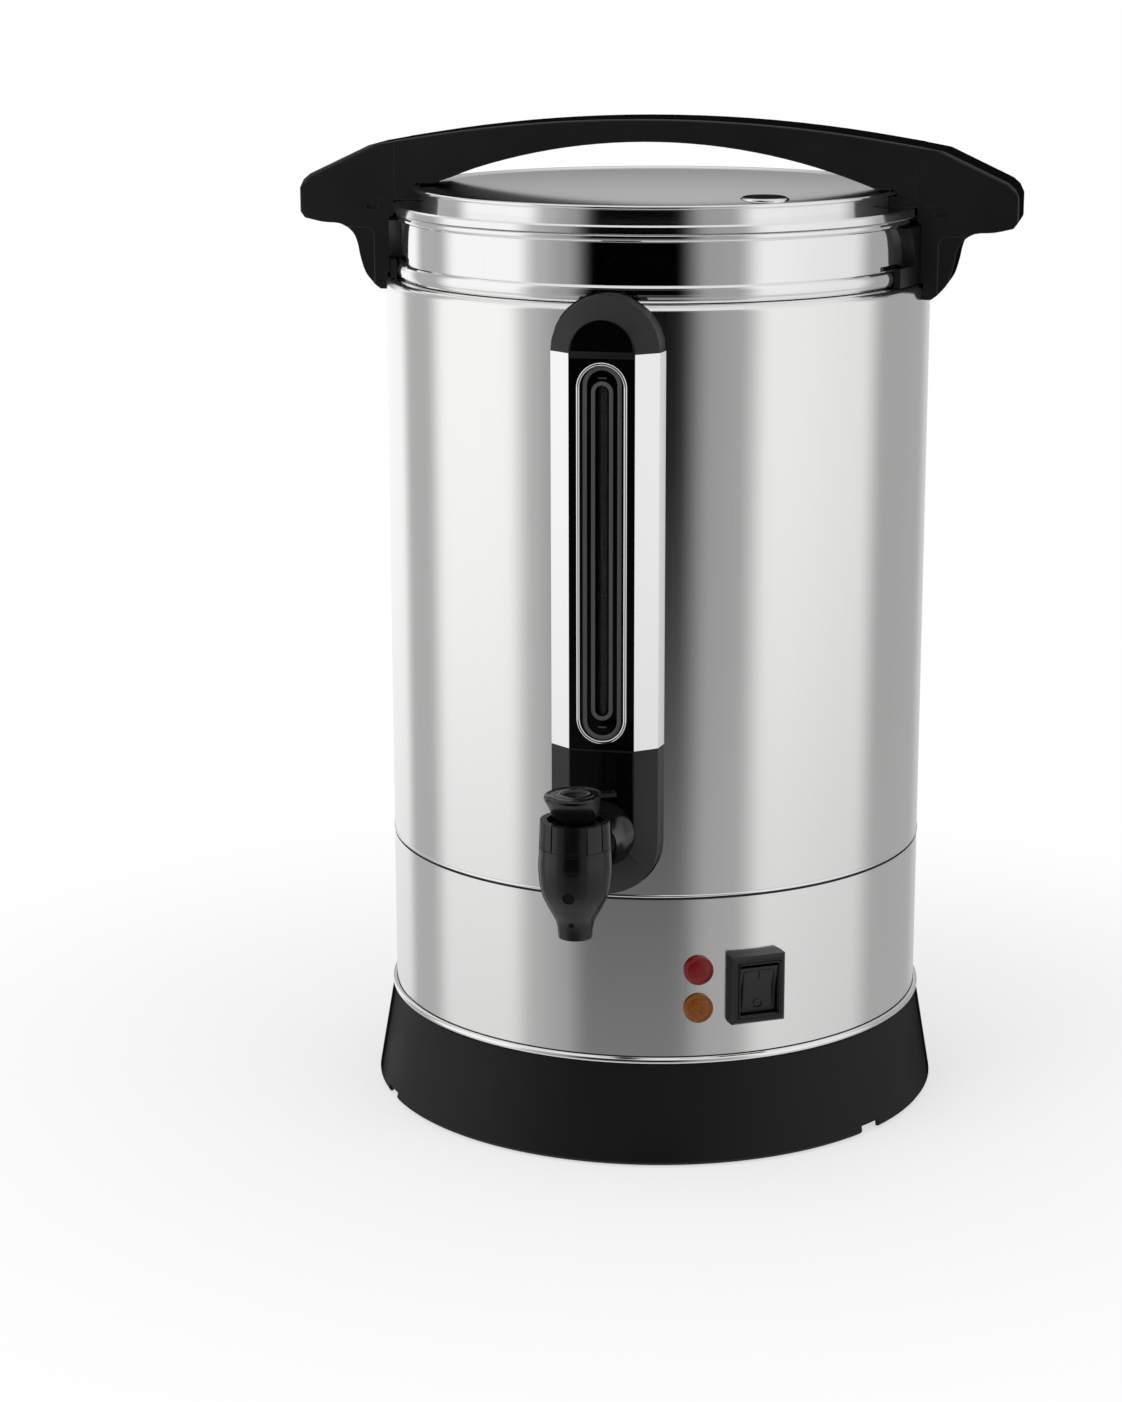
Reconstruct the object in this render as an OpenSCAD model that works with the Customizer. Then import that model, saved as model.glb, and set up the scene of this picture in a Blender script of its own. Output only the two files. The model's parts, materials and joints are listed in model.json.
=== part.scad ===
// Percolating coffee urn with a twin wall, a lift-off lid, a sight-glass column and a tap.
// Millimetres, +Z up. The origin is on the floor, on the axis of the urn, and the tap faces -Y.

/* [Body] */
// Diameter of the outer shell and of the lower housing
shell_d = 270; // [266:1:290]
// Sheet thickness of the outer shell and the lower housing
shell_wall = 1; // [0.8:0.1:1.5]
// Height of the outer shell from the seam band to its shoulder
shell_h = 281.4; // [260:0.2:340]
// Height of the lower housing between its bead and the seam band
housing_h = 79.8; // [76:0.2:110]
// Height of the seam band that shows between housing and shell
seam_h = 2.6; // [2:0.2:5]
// Radius of the rolled shoulder on top of the shell
shoulder_r = 4; // [3:0.5:5]
// Diameter of the rolled bead at the foot of the housing
bead_d = 3.2; // [2.6:0.2:4.2]

/* [Base] */
// Height of the black base skirt
base_h = 50; // [44:1:64]
// How much further out the skirt stands at the floor than at the top
base_spread = 8; // [4:0.5:12]
// Wall thickness of the skirt
base_wall = 2.5; // [2:0.25:4]
// Height of the skirt's lower edge above the floor
skirt_lift = 1; // [0.6:0.2:3]
// Width of the notches in the lower edge
notch_w = 14; // [6:1:18]
// Height of the notches above the floor
notch_h = 5; // [3:0.5:6]
// Angle of the front notches from the tap
notch_angle = 58.5; // [50:0.5:70]
// Width of the rubber ring that the urn stands on
foot_w = 12; // [10:1:16]
// Height of that ring and the base plate's edge above the floor
foot_h = 7; // [6:0.5:9]

/* [Tank] */
// Distance from the outside of the shell to the outside of the tank
tank_gap = 7.5; // [6:0.5:10]
// Sheet thickness of the tank
tank_wall = 1; // [0.8:0.1:1.5]
// Height of the tank floor above the seam
tank_rise = 8; // [6:0.5:14]
// Depth of the pump well in the tank floor
well_depth = 9; // [6:0.5:12]
// Diameter of the pump well
well_d = 48; // [44:1:56]
// Height of the bead that rests on the shell's shoulder
lower_bead_h = 8.4; // [6:0.2:10]
// How far that bead stands out of the neck
lower_bead_out = 2.8; // [2:0.2:3.4]
// Height of the plain neck above that bead
neck_h = 19.4; // [17:0.2:30]
// Height of the rolled rim of the tank
rim_h = 4; // [3:0.2:6]
// How far the rolled rim stands out of the neck
rim_out = 2.2; // [1.6:0.2:2.4]

/* [Lid] */
// How far the lid's flange stands out of the neck
flange_out = 3.5; // [3:0.1:4]
// Height of the lid's flange
flange_h = 3.8; // [3:0.2:5]
// How far the lid's upright skirt is set in from the neck
lid_inset = 9.5; // [9:0.5:14]
// Height of the upright skirt above the flange
lid_skirt_h = 8; // [6:0.5:12]
// How far the lip stands out of that skirt
lip_out = 3.5; // [2:0.5:4]
// Height of the lip's rolled edge
lip_h = 1.6; // [1.2:0.2:2.4]
// Rise of the lid's crowned top from its lip to its middle
crown_h = 2.5; // [1:0.25:3]
// Height of the ring that centres the lid in the tank
spigot_h = 8; // [5:0.5:12]
// Distance of the steam vent from the axis
vent_reach = 96.5; // [70:0.5:100]
// Angle of the steam vent from the tap
vent_angle = 40.8; // [36:0.2:50]
// Diameter of the vent hole
vent_bore_d = 13.8; // [8:0.2:15]

/* [Lid bar] */
// Depth of the bar and of the side grips, front to back
bar_w = 40; // [34:1:44]
// Height of the bar above the lid's lip at the middle
bar_rise = 33; // [30:0.5:40]
// Thickness of the bar at the middle
bar_t = 11; // [9:0.5:14]
// Height of the bar above the lid's lip at its ends
bar_end_rise = 21; // [18:0.5:24]
// Gap between the lid's lip and the bar where its arch begins
bar_lip_gap = 0.5; // [0.3:0.1:3]
// Half length of the arched stretch under the bar
arch_reach = 110; // [90:1:112]
// Gap between the ends of the bar and the side grips
bar_gap = 0.5; // [0.3:0.1:1]

/* [Side grips] */
// How far the tip of a grip stands out of the shell
grip_out = 43.5; // [38:0.5:55]
// Height of the upright face at the tip of a grip
grip_tip_h = 11.5; // [8:0.5:13]
// Height of a grip's underside below the tank's rim
grip_drop = 8; // [6:0.5:10]
// Length of the bracket under a grip
bracket_h = 32; // [28:1:36]
// How far the bracket under a grip stands out of the shell
bracket_out = 13; // [11:0.5:18]
// Half width of a saddle around the neck
saddle_reach = 29; // [24:1:32]
// Spacing of the two screws of a grip
grip_screw_pitch = 26; // [20:1:28]

/* [Gauge column] */
// Width of the column at the shell
col_w = 54; // [50:1:60]
// Width of the column where its facets begin
col_mid_w = 51; // [46:1:54]
// Width of the column's flat face
col_face_w = 31; // [29:0.5:34]
// How far the flat face stands out of the shell
col_out = 14; // [14:0.5:17]
// How far back from the face the facets begin
facet_back = 8; // [6:0.5:9]
// Wall thickness of the column's parts
col_wall = 2; // [1.5:0.25:2.25]
// Distance of the cap's straight edge below the shoulder
cap_drop = 20.5; // [18:0.5:26]
// Distance of the column's lowest point above the seam band
col_foot_gap = 0.4; // [0.2:0.2:3]
// Width of the window's bright bezel
window_w = 24; // [22:0.5:26]
// Margin between the window and the ends of the panel
window_margin = 2.8; // [2:0.2:5]
// Outer diameter of the sight tube
tube_d = 8; // [6:0.5:8]
// Wall thickness of the sight tube
tube_wall = 1; // [0.8:0.1:1.4]
// Width of the slot in front of the sight tube
slot_w = 6.5; // [5:0.5:7]
// Distance from the window's ends to the ends of the inner frame
slot_inset = 9; // [8:0.5:14]

/* [Tap] */
// Height of the tap's centre line above the seam
tap_rise = 36.5; // [35:0.5:50]
// Distance of the tap's outlet from the column's face
tap_reach = 63; // [58:0.5:75]
// Height of the lower housing of the column above the tap's centre line
tap_housing_rise = 40.8; // [38:0.2:46]
// Length of the tap body below the centre line
nozzle_h = 30.5; // [27:0.5:36]
// Diameter of the outlet bore
outlet_bore_d = 11; // [8:0.5:12]
// Largest diameter of the tap body
tap_body_d = 33.6; // [31:0.2:36]
// Diameter of the tap's outlet
outlet_d = 15.4; // [14:0.2:17]
// Height of the grooved bonnet
bonnet_h = 14.2; // [13:0.2:17]
// Number of grooves round the bonnet
bonnet_grooves = 12; // [8:1:18]
// Outer diameter of the shank through the walls
shank_d = 14; // [12:0.5:15]
// Bore of the shank
shank_bore_d = 10; // [7:0.5:10.5]
// Diameter of the lever's top
lever_d = 28.4; // [24:0.2:30]
// Height of the lever above the bonnet
lever_h = 11.5; // [10:0.5:15]
// Diameter of the stem
stem_d = 5; // [4:0.25:5.5]

/* [Switch and lamps] */
// Diameter of the lamp lenses
lamp_d = 14.4; // [12:0.2:16]
// Angle of the lamps from the tap
lamp_angle = 18.8; // [15:0.1:20]
// Height of the upper lamp above the base
lamp_rise = 47.5; // [42:0.5:56]
// Spacing of the two lamps
lamp_pitch = 19.2; // [17:0.2:24]
// Angle of the switch from the tap
switch_angle = 30.7; // [30:0.1:40]
// Height of the switch's middle above the base
switch_rise = 37.5; // [32:0.5:46]
// Width of the switch frame
switch_w = 27.5; // [27:0.5:32]
// Height of the switch frame
switch_h = 34; // [33.5:0.5:40]
// How far the switch frame stands out of the housing
switch_out = 7; // [6:0.5:9]
// Angle that the rocker swings through
rocker_swing = 14; // [10:1:16]

/* [Percolator] */
// Diameter of the pump tube
pump_d = 12; // [10:0.5:14]
// Height of the pump tube above the tank floor
pump_h = 294; // [270:1:300]
// Diameter of the coffee basket
basket_d = 150; // [130:2:170]
// Depth of the coffee basket
basket_h = 72; // [60:1:80]
// Height of the basket's floor above the tank floor
basket_rise = 196; // [170:1:205]

/* [Hidden] */

$fn = 96;
eps = 0.01;          // overlap that keeps cuts clean
snug = 0.05;         // gap between still faces that touch
slip = 0.3;          // gap between curved faces that move past each other
run_fit = 0.05;      // radial clearance of a pin in its bore

// Heights
shell_r = shell_d / 2;
shell_in_r = shell_r - shell_wall;
seam_z = base_h + bead_d + housing_h;
shell_z0 = seam_z + seam_h;
shell_z1 = shell_z0 + shell_h;
tank_r = shell_r - tank_gap;
tank_in_r = tank_r - tank_wall;
tank_floor_z = seam_z + tank_rise;
tank_in_z = tank_floor_z + tank_wall;
lower_bead_z = shell_z1 + snug;
neck_z = lower_bead_z + lower_bead_h;
rim_z0 = neck_z + neck_h;
rim_z1 = rim_z0 + rim_h;
lower_bead_r = tank_r + lower_bead_out;
rim_r = tank_r + rim_out;
lid_z = rim_z1 + 0.2;
flange_top = lid_z + flange_h;
lip_top = flange_top + lid_skirt_h;
flange_r = tank_r + flange_out;
lid_skirt_r = tank_r - lid_inset;
lip_r = lid_skirt_r + lip_out;
lid_wall = 1;
crown_r = lip_r - 4.5;
crown_foot = lip_top - 0.6;

// Base
base_r1 = shell_r + 1.5;
base_r0 = base_r1 + base_spread;
plate_t = 1.2;
plate_z = foot_h - 1;
boss_ring_r = shell_r - 13;
boss_r = 5;
ledge_in_r = shell_r - 20;
ledge_t = 2.5;
ledge_screw_r = ledge_in_r + 6;
screw_r = 1.8;
screw_head_r = 3.6;
screw_head_h = 2.2;
foot_ring_r = boss_ring_r - screw_head_r - foot_w / 2 - 1;

// Gauge column
col_face_y = -(shell_r + col_out);
col_mid_y = col_face_y + facet_back;
cap_z = shell_z1 - cap_drop;
tap_z = seam_z + tap_rise;
housing_top_z = tap_z + tap_housing_rise;
col_foot_z = shell_z0 + col_foot_gap + col_w / 2;
panel_back_y = col_face_y + 2;
backing_t = 1.1;
web_front_y = panel_back_y + backing_t;
tube_y = web_front_y + 0.9 + tube_d / 2;
lip_band_h = 2.6;
panel_top_z = cap_z - lip_band_h + 0.3;
window_top_z = panel_top_z - window_margin + 1.4;
window_bottom_z = housing_top_z + window_margin;
window_r = window_w / 2;
slot_line = 1.9;
slot_top_z = window_top_z - slot_inset - slot_line;
slot_bottom_z = window_bottom_z + slot_inset + slot_line + 2.2;
column_hull_fn = 32;

// Tap
tap_y = col_face_y - tap_reach;
bonnet_z = tap_z + 10.8;
bonnet_top_z = bonnet_z + bonnet_h;
bonnet_r = tap_body_d / 2 - 0.7;
seat_z = tap_z - 11.5;
chamber_r = 9;
lever_z = bonnet_top_z + 0.5;
lever_top_z = lever_z + lever_h;
hinge_y = tap_y - 5;
hinge_z = bonnet_top_z + 3.5;
pin_r = 1.2;
cam_r = 1;
lever_slot_w = 4.2;
ear_w = 3.2;
recess_r = 12.8;
recess_depth = 4;
cup_h = 7;
barrel_r = bonnet_z - tap_z - 0.2;

// Switch and lamps
lamp_z = base_h + lamp_rise;
switch_z = base_h + switch_rise;
rocker_w = 19;
rocker_h = 23.6;
switch_open_w = rocker_w + 0.8;
switch_open_h = rocker_h + 2;
switch_cut_w = 21.8;
switch_cut_h = 28.4;
rocker_pivot = 2.6;
rocker_face = -switch_out + 1.6 + rocker_pivot;

// Power inlet
inlet_z = base_h + 40;
inlet_w = 50;
inlet_h = 24;
inlet_out = 5;
pin_end = 24;

// Percolator
basket_z = tank_in_z + basket_rise;
pump_r = pump_d / 2;
pump_foot_z = tank_in_z - well_depth + 0.1;
basket_r = basket_d / 2;
spreader_z = basket_z + basket_h + 0.2;

// Side grips
grip_in_r = flange_r + 0.6;
grip_reach = shell_r + grip_out;
bracket_reach = shell_r + bracket_out;
saddle_r0 = tank_r + snug;
saddle_r1 = shell_r - 1.6;
grip_top_z = lip_top + bar_end_rise;
grip_under_z = rim_z1 - grip_drop;
grip_screw_z = neck_z + neck_h / 2;
bar_end_r = grip_in_r - bar_gap - 0.5;

// Colours
steel = [0.80, 0.81, 0.82];
bright = [0.90, 0.90, 0.91];
black = [0.10, 0.10, 0.11];
gloss = [0.04, 0.04, 0.05];
grey = [0.55, 0.56, 0.57];
rubber_grey = [0.18, 0.18, 0.19];
silicone = [0.75, 0.74, 0.70];

// ---------------------------------------------------------------- helpers

// An upright ring between two radii and two heights
module ring(r_in, r_out, z0, z1) {
    difference() {
        translate([0, 0, z0]) cylinder(r = r_out, h = z1 - z0);
        translate([0, 0, z0 - 1]) cylinder(r = r_in, h = z1 - z0 + 2);
    }
}

// An upright cylinder between two heights
module disc(r, z0, z1) {
    translate([0, 0, z0]) cylinder(r = r, h = z1 - z0);
}

// A cylinder along Y between two planes
module y_rod(r, y0, y1, x = 0, z = 0) {
    translate([x, y0, z]) rotate([-90, 0, 0]) cylinder(r = r, h = y1 - y0);
}

// A cylinder along X between two planes
module x_rod(r, x0, x1, y = 0, z = 0) {
    translate([x0, y, z]) rotate([0, 90, 0]) cylinder(r = r, h = x1 - x0);
}

// An eight-sided rod between any two points, a little longer at both ends
module rod(a, b, r) {
    lap = 0.5 * r;
    d = b - a;
    len = norm(d);
    translate(a)
        rotate([0, acos(d[2] / len), atan2(d[1], d[0])])
            translate([0, 0, -lap]) cylinder(r = r, h = len + 2 * lap, $fn = 8);
}

lead_r = 1.4;
lead_end = 0.5 * lead_r + snug;

// A lead through a list of points
module wire(points) {
    for (i = [0 : len(points) - 2]) rod(points[i], points[i + 1], lead_r);
}

// Places children on the body wall: X along it, -Y outward, at an angle from the tap
module on_wall(angle, z) {
    rotate([0, 0, angle]) translate([0, -shell_r, z]) children();
}

// Everything inside the body wall, for cutting what is seated on it
module wall_cut(r = shell_r + snug) {
    translate([0, 0, -1]) cylinder(r = r, h = shell_z1 + 100);
}

// An upright slot shape with round ends, between two planes in Y
module pill(r, z0, z1, y0, y1) {
    union() {
        y_rod(r, y0, y1, 0, z0 + r);
        y_rod(r, y0, y1, 0, z1 - r);
        translate([-r, y0, z0 + r]) cube([2 * r, y1 - y0, z1 - z0 - 2 * r]);
    }
}

// Points of a circular arc in a plane, from one angle to another
function arc(cx, cy, r, a0, a1, n) =
    [for (i = [0 : n]) let (a = a0 + (a1 - a0) * i / n) [cx + r * cos(a), cy + r * sin(a)]];

// One point of a smooth curve through four neighbouring points
function blend_point(a, b, c, d, t) =
    0.5 * (2 * b + (c - a) * t + (2 * a - 5 * b + 4 * c - d) * t * t
        + (3 * b - a - 3 * c + d) * t * t * t);

// A smooth curve through a list of points, with n steps between neighbours
function smooth(p, n) = let (last = len(p) - 1) concat(
    [for (i = [0 : last - 1], k = [0 : n - 1])
        blend_point(p[max(i - 1, 0)], p[i], p[i + 1], p[min(i + 2, last)], k / n)], [p[last]]);

// Half of a bead's round section, standing out of a wall at radius r
module bead_ring(r, out, z0, z1) {
    rotate_extrude() polygon(concat([[r - 0.6, z0], [r - 0.6, z1]],
        [for (i = [0 : 12]) let (a = 90 - 15 * i)
            [r + out * pow(cos(a), 0.6), (z0 + z1) / 2 + (z1 - z0) / 2 * sin(a)]]));
}

// ---------------------------------------------------------------- base

module base_skirt() {
    inner_low = base_r0 - base_wall;
    inner_high = base_r1 - base_wall;
    color(black) difference() {
        union() {
            rotate_extrude() polygon([
                [inner_low, skirt_lift], [base_r0 - 1, skirt_lift], [base_r0, skirt_lift + 1.5],
                [base_r1, base_h - 0.8], [base_r1 - 0.8, base_h], [ledge_in_r, base_h],
                [ledge_in_r, base_h - ledge_t], [inner_high, base_h - ledge_t]]);
            for (a = [45 : 90 : 315]) rotate([0, 0, a])
                translate([boss_ring_r, 0, plate_z + plate_t + snug])
                    cylinder(r = boss_r, h = base_h - ledge_t - plate_z - plate_t);
        }
        for (a = [notch_angle, -notch_angle, 180]) rotate([0, 0, a])
            translate([-notch_w / 2, -base_r0 - 1, -1]) cube([notch_w, base_spread + 12, notch_h + 1]);
        for (a = [45 : 90 : 315]) rotate([0, 0, a]) translate([boss_ring_r, 0, plate_z])
            cylinder(r = screw_r - 0.1, h = base_h, $fn = 32);
        for (a = [0 : 90 : 270]) rotate([0, 0, a]) translate([ledge_screw_r, 0, base_h - ledge_t - 1])
            cylinder(r = screw_r, h = ledge_t + 2, $fn = 32);
    }
}

module base_plate() {
    plate_r = base_r0 - base_wall - base_spread * 0.2 - 1;
    color(steel) difference() {
        translate([0, 0, plate_z]) cylinder(r = plate_r, h = plate_t);
        for (a = [45 : 90 : 315]) rotate([0, 0, a]) {
            translate([boss_ring_r, 0, plate_z - 1]) cylinder(r = screw_r + 0.2, h = 4, $fn = 32);
            rotate([0, 0, 45]) translate([foot_ring_r, 0, plate_z - 1])
                cylinder(r = 3.1, h = 4, $fn = 32);
        }
        for (a = [0 : 30 : 330]) rotate([0, 0, a]) translate([foot_ring_r / 2, 0, plate_z - 1])
            cylinder(r = 3, h = 4, $fn = 32);
    }
}

// One moulded rubber ring that the urn stands on, with four pull-through studs
module foot_ring() {
    half = foot_w / 2;
    top = plate_z - snug;
    color(rubber_grey) {
        rotate_extrude() polygon([[foot_ring_r - half + 1, 0], [foot_ring_r + half - 1, 0],
            [foot_ring_r + half, 1.5], [foot_ring_r + half, top], [foot_ring_r - half, top],
            [foot_ring_r - half, 1.5]]);
        for (a = [90 : 90 : 360]) rotate([0, 0, a]) translate([foot_ring_r, 0, 0]) {
            translate([0, 0, 2]) cylinder(r = 3, h = plate_z + plate_t - 2 + snug, $fn = 32);
            translate([0, 0, plate_z + plate_t + snug - eps]) cylinder(r1 = 4.4, r2 = 2, h = 3, $fn = 32);
        }
    }
}

// Screws up through the base plate, and screws down through the housing's ledge
module base_screws() {
    ledge_top = base_h + snug + ledge_t / 2;
    shaft_r = screw_r - 0.15;
    color(bright) {
        for (a = [45 : 90 : 315]) rotate([0, 0, a]) translate([boss_ring_r, 0, 0]) {
            translate([0, 0, plate_z - screw_head_h - snug])
                cylinder(r = screw_head_r, h = screw_head_h, $fn = 32);
            translate([0, 0, plate_z - 1]) cylinder(r = shaft_r, h = 14, $fn = 32);
        }
        for (a = [0 : 90 : 270]) rotate([0, 0, a]) translate([ledge_screw_r, 0, 0]) {
            translate([0, 0, ledge_top + snug]) cylinder(r = screw_head_r, h = screw_head_h, $fn = 32);
            translate([0, 0, base_h - ledge_t - 3]) cylinder(r = shaft_r, h = ledge_t * 1.5 + 4, $fn = 32);
        }
    }
}

// ---------------------------------------------------------------- housing and shell

module housing() {
    ledge_z = base_h + snug;
    color(steel) difference() {
        union() {
            ring(shell_in_r, shell_r, ledge_z, seam_z);
            ring(ledge_in_r + 2, shell_r - 0.5, ledge_z, ledge_z + ledge_t / 2);
            rotate_extrude() translate([shell_r + 0.4, ledge_z + bead_d / 2]) circle(d = bead_d, $fn = 24);
        }
        on_wall(lamp_angle, lamp_z) y_rod(5.3, -5, 5);
        on_wall(lamp_angle, lamp_z - lamp_pitch) y_rod(5.3, -5, 5);
        on_wall(switch_angle, switch_z)
            translate([-switch_cut_w / 2, -6, -switch_cut_h / 2]) cube([switch_cut_w, 12, switch_cut_h]);
        on_wall(180, inlet_z) {
            translate([-14.2, -6, -10.2]) cube([28.4, 12, 20.4]);
            for (s = [-1, 1]) y_rod(1.7, -6, 6, s * 20, 0);
        }
        for (a = [0 : 90 : 270]) rotate([0, 0, a]) translate([ledge_screw_r, 0, base_h - 1])
            cylinder(r = screw_r, h = 4, $fn = 32);
    }
}

// The band that joins housing and shell, with its rib showing between them
module seam_band() {
    grip = 8;
    color(steel) union() {
        ring(shell_in_r - 1.1, shell_in_r - snug, seam_z - grip, shell_z0 + grip);
        ring(shell_in_r - 0.5, shell_r - 0.5, seam_z + snug, shell_z0 - snug);
    }
}

module outer_shell() {
    mouth_r = tank_r + slip;
    corner = shell_r - shoulder_r;
    outer = arc(corner, shell_z1 - shoulder_r, shoulder_r, 0, 90, 8);
    inner = arc(corner, shell_z1 - shoulder_r, shoulder_r - shell_wall, 90, 0, 8);
    color(steel) difference() {
        rotate_extrude() polygon(concat([[shell_r, shell_z0]], outer, [[mouth_r, shell_z1],
            [mouth_r, shell_z1 - shell_wall]], inner, [[shell_in_r, shell_z0]]));
        y_rod(shank_d / 2 + slip, -shell_r - 5, -shell_r + 5, 0, tap_z);
        for (p = column_screw_spots()) y_rod(1.7, -shell_r - 5, -shell_r + 6, p[0], p[1]);
    }
}

module tank() {
    bottom_r = 8;
    outer = arc(tank_r - bottom_r, tank_floor_z + bottom_r, bottom_r, -90, 0, 8);
    inner = arc(tank_r - bottom_r, tank_floor_z + bottom_r, bottom_r - tank_wall, 0, -90, 8);
    color(bright) difference() {
        union() {
            rotate_extrude() polygon(concat(
                [[0, tank_floor_z - well_depth], [well_r, tank_floor_z - well_depth],
                    [well_r, tank_floor_z]],
                outer, [[tank_r, rim_z1], [tank_in_r, rim_z1]], inner,
                [[well_r - tank_wall, tank_in_z], [well_r - tank_wall, tank_in_z - well_depth],
                    [0, tank_in_z - well_depth]]));
            bead_ring(tank_r, lower_bead_out, lower_bead_z, neck_z);
            bead_ring(tank_r, rim_out, rim_z0, rim_z1);
        }
        y_rod(shank_d / 2 + slip, -tank_r - 5, -tank_r + 8, 0, tap_z);
        for (s = [-1, 1], t = [-1, 1])
            x_rod(2.7, s > 0 ? tank_r - 8 : -tank_r - 8, s > 0 ? tank_r + 8 : -tank_r + 8,
                t * grip_screw_pitch / 2, grip_screw_z);
    }
}

// ---------------------------------------------------------------- heating

heater_top = tank_floor_z - snug;
heater_z = tank_floor_z - well_depth + 1;
well_r = well_d / 2;
heater_r = well_r * 1.667;
warm_tube_r = 3.2;
warm_leg = 14;
lug_h = 10;
warm_r = tank_r * 0.702;
thermostat_r = (warm_r - warm_tube_r - heater_r) * 0.24;
thermostat_reach = (heater_r + warm_r - warm_tube_r) / 2;
terminal_x = (well_r + heater_r) / 2 + 2;

// Cast brewing element that sits round the pump well
module heater() {
    color(grey) difference() {
        union() {
            ring(well_r + snug, heater_r, heater_z, heater_top);
            for (s = [-1, 1]) translate([s * terminal_x, well_r / 2, heater_z - lug_h])
                cylinder(r = 2.6, h = lug_h + 1, $fn = 32);
        }
        for (a = [90 : 120 : 330]) rotate([0, 0, a]) translate([(well_r + heater_r) / 2, 0, heater_z - 1])
            cylinder(r = 2, h = 3, $fn = 32);
    }
}

// Strap that presses the element against the tank floor, with its stud and nut
module heater_clamp() {
    strap_z = tank_floor_z - well_depth - snug;
    color(steel) {
        difference() {
            translate([-heater_r - 2, -7, strap_z - 2]) cube([2 * heater_r + 4, 14, 2]);
            translate([0, 0, strap_z - 3]) cylinder(r = 3.2, h = 4, $fn = 32);
        }
        for (s = [-1, 1]) translate([s * (heater_r - 5) - 4, -7, strap_z - eps])
            cube([8, 14, heater_z - strap_z - snug + eps]);
        translate([0, 0, strap_z - 6]) cylinder(r = 5.2, h = 4 - snug, $fn = 6);
        translate([0, 0, strap_z - 8]) cylinder(r = 3, h = 8 - snug, $fn = 32);
    }
}

// Low-power ring that keeps the coffee warm
module warming_element() {
    tube_z = tank_floor_z - warm_tube_r - snug;
    color(grey) {
        rotate_extrude(angle = 330, $fn = 64) translate([warm_r, tube_z]) circle(r = warm_tube_r, $fn = 24);
        for (a = [4, 326]) rotate([0, 0, a])
            translate([warm_r, 0, tube_z - warm_leg]) cylinder(r = 2.4, h = warm_leg, $fn = 24);
    }
}

// Two clip-on thermostats under the tank floor
module thermostats() {
    tag_x = thermostat_r / 2;
    color(black) for (a = [-26, 206]) rotate([0, 0, a])
        translate([thermostat_reach, 0, tank_floor_z - snug - thermostat_r]) {
            cylinder(r = thermostat_r, h = thermostat_r);
            for (t = [-1, 1]) translate([t * tag_x - 0.4, -3, -7]) cube([0.8, 6, 7 + eps]);
        }
}

module thermal_fuse() {
    plate_w = thermostat_r * 2;
    color(bright) translate([0, thermostat_reach, tank_floor_z - snug]) {
        translate([-plate_w / 2, -5, -1.5]) cube([plate_w, 10, 1.5]);
        translate([0, 0, -4.9]) rotate([0, 90, 0]) cylinder(r = 3.5, h = plate_w, center = true, $fn = 32);
    }
}

block_z = plate_z + plate_t + snug;

block_pitch = 11;
block_y = 41;

// Ceramic connector block on the base plate
module terminal_block() {
    row = 5;
    color([0.9, 0.88, 0.82]) difference() {
        translate([-2.75 * block_pitch, block_y - block_pitch, block_z])
            cube([5.5 * block_pitch, 2 * block_pitch, 18]);
        for (i = [-2 : 2], t = [-1, 1])
            translate([i * block_pitch, block_y + t * row, block_z + 8]) cylinder(r = 3, h = 12, $fn = 32);
    }
}

// Leads between the inlet, the switch, the block and the two elements
module wires() {
    low = block_z + 8 + lead_r + snug;
    high = block_z + 24;
    front = block_y - 5;
    back = block_y + 5;
    inlet_y = shell_r - pin_end - lead_end;
    pin_z = inlet_z + 2;
    warm_z = tank_floor_z - warm_tube_r - snug - warm_leg - lead_end;
    warm_x = warm_r * cos(4);
    warm_y = warm_r * sin(4);
    cast_z = heater_z - lug_h - lead_end;
    cast_y = well_r / 2;
    switch_reach = shell_r - 20;
    switch_x = switch_reach * sin(switch_angle);
    switch_y = -switch_reach * cos(switch_angle);
    p = block_pitch;
    color([0.75, 0.2, 0.15]) {
        for (s = [-1, 1]) wire([[s * 2 * p, back, low], [s * 2 * p, back, high],
            [s * 7, inlet_y - 14, pin_z], [s * 7, inlet_y, pin_z]]);
        for (s = [-1, 1]) wire([[(1.5 - s / 2) * p, front, low], [(1.5 - s / 2) * p, front, high],
            [switch_x - 5, switch_y + 8, switch_z + 4 * s], [switch_x, switch_y, switch_z + 4 * s]]);
        wire([[-p, front, low], [-p, front, high], [-terminal_x, cast_y, cast_z - 12],
            [-terminal_x, cast_y, cast_z]]);
        wire([[0, front, low], [0, front, high], [terminal_x, cast_y, cast_z - 12],
            [terminal_x, cast_y, cast_z]]);
        wire([[p, back, low], [p, back, high], [warm_x, warm_y, warm_z - 14], [warm_x, warm_y, warm_z]]);
    }
}

// ---------------------------------------------------------------- electrical fittings on the housing

// Appliance inlet on the back of the housing, with its socket open to the rear
module power_inlet() {
    color(black) on_wall(180, inlet_z) difference() {
        union() {
            difference() {
                translate([-inlet_w / 2, -inlet_out, -inlet_h / 2]) cube([inlet_w, inlet_out + 6, inlet_h]);
                translate([0, shell_r, -inlet_h]) cylinder(r = shell_r + snug, h = 2 * inlet_h);
            }
            translate([-13.8, -2, -9.8]) cube([27.6, pin_end, 19.6]);
        }
        translate([-12, -inlet_out - 1, -8]) cube([24, inlet_out + 18, 16]);
        for (s = [-1, 1]) y_rod(1.7, -inlet_out - 1, 8, s * 20, 0);
        for (s = [-1, 1]) translate([s * 7 - 1.1, 10, 0]) cube([2.2, 14, 4.2]);
        translate([-1.1, 10, -5.1]) cube([2.2, 14, 4.2]);
    }
}

module inlet_pins() {
    color(bright) on_wall(180, inlet_z) {
        for (s = [-1, 1]) translate([s * 7 - 1, 1, 0.1]) cube([2, pin_end - 1, 4]);
        translate([-1, 0, -5]) cube([2, pin_end, 4]);
    }
}

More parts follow.
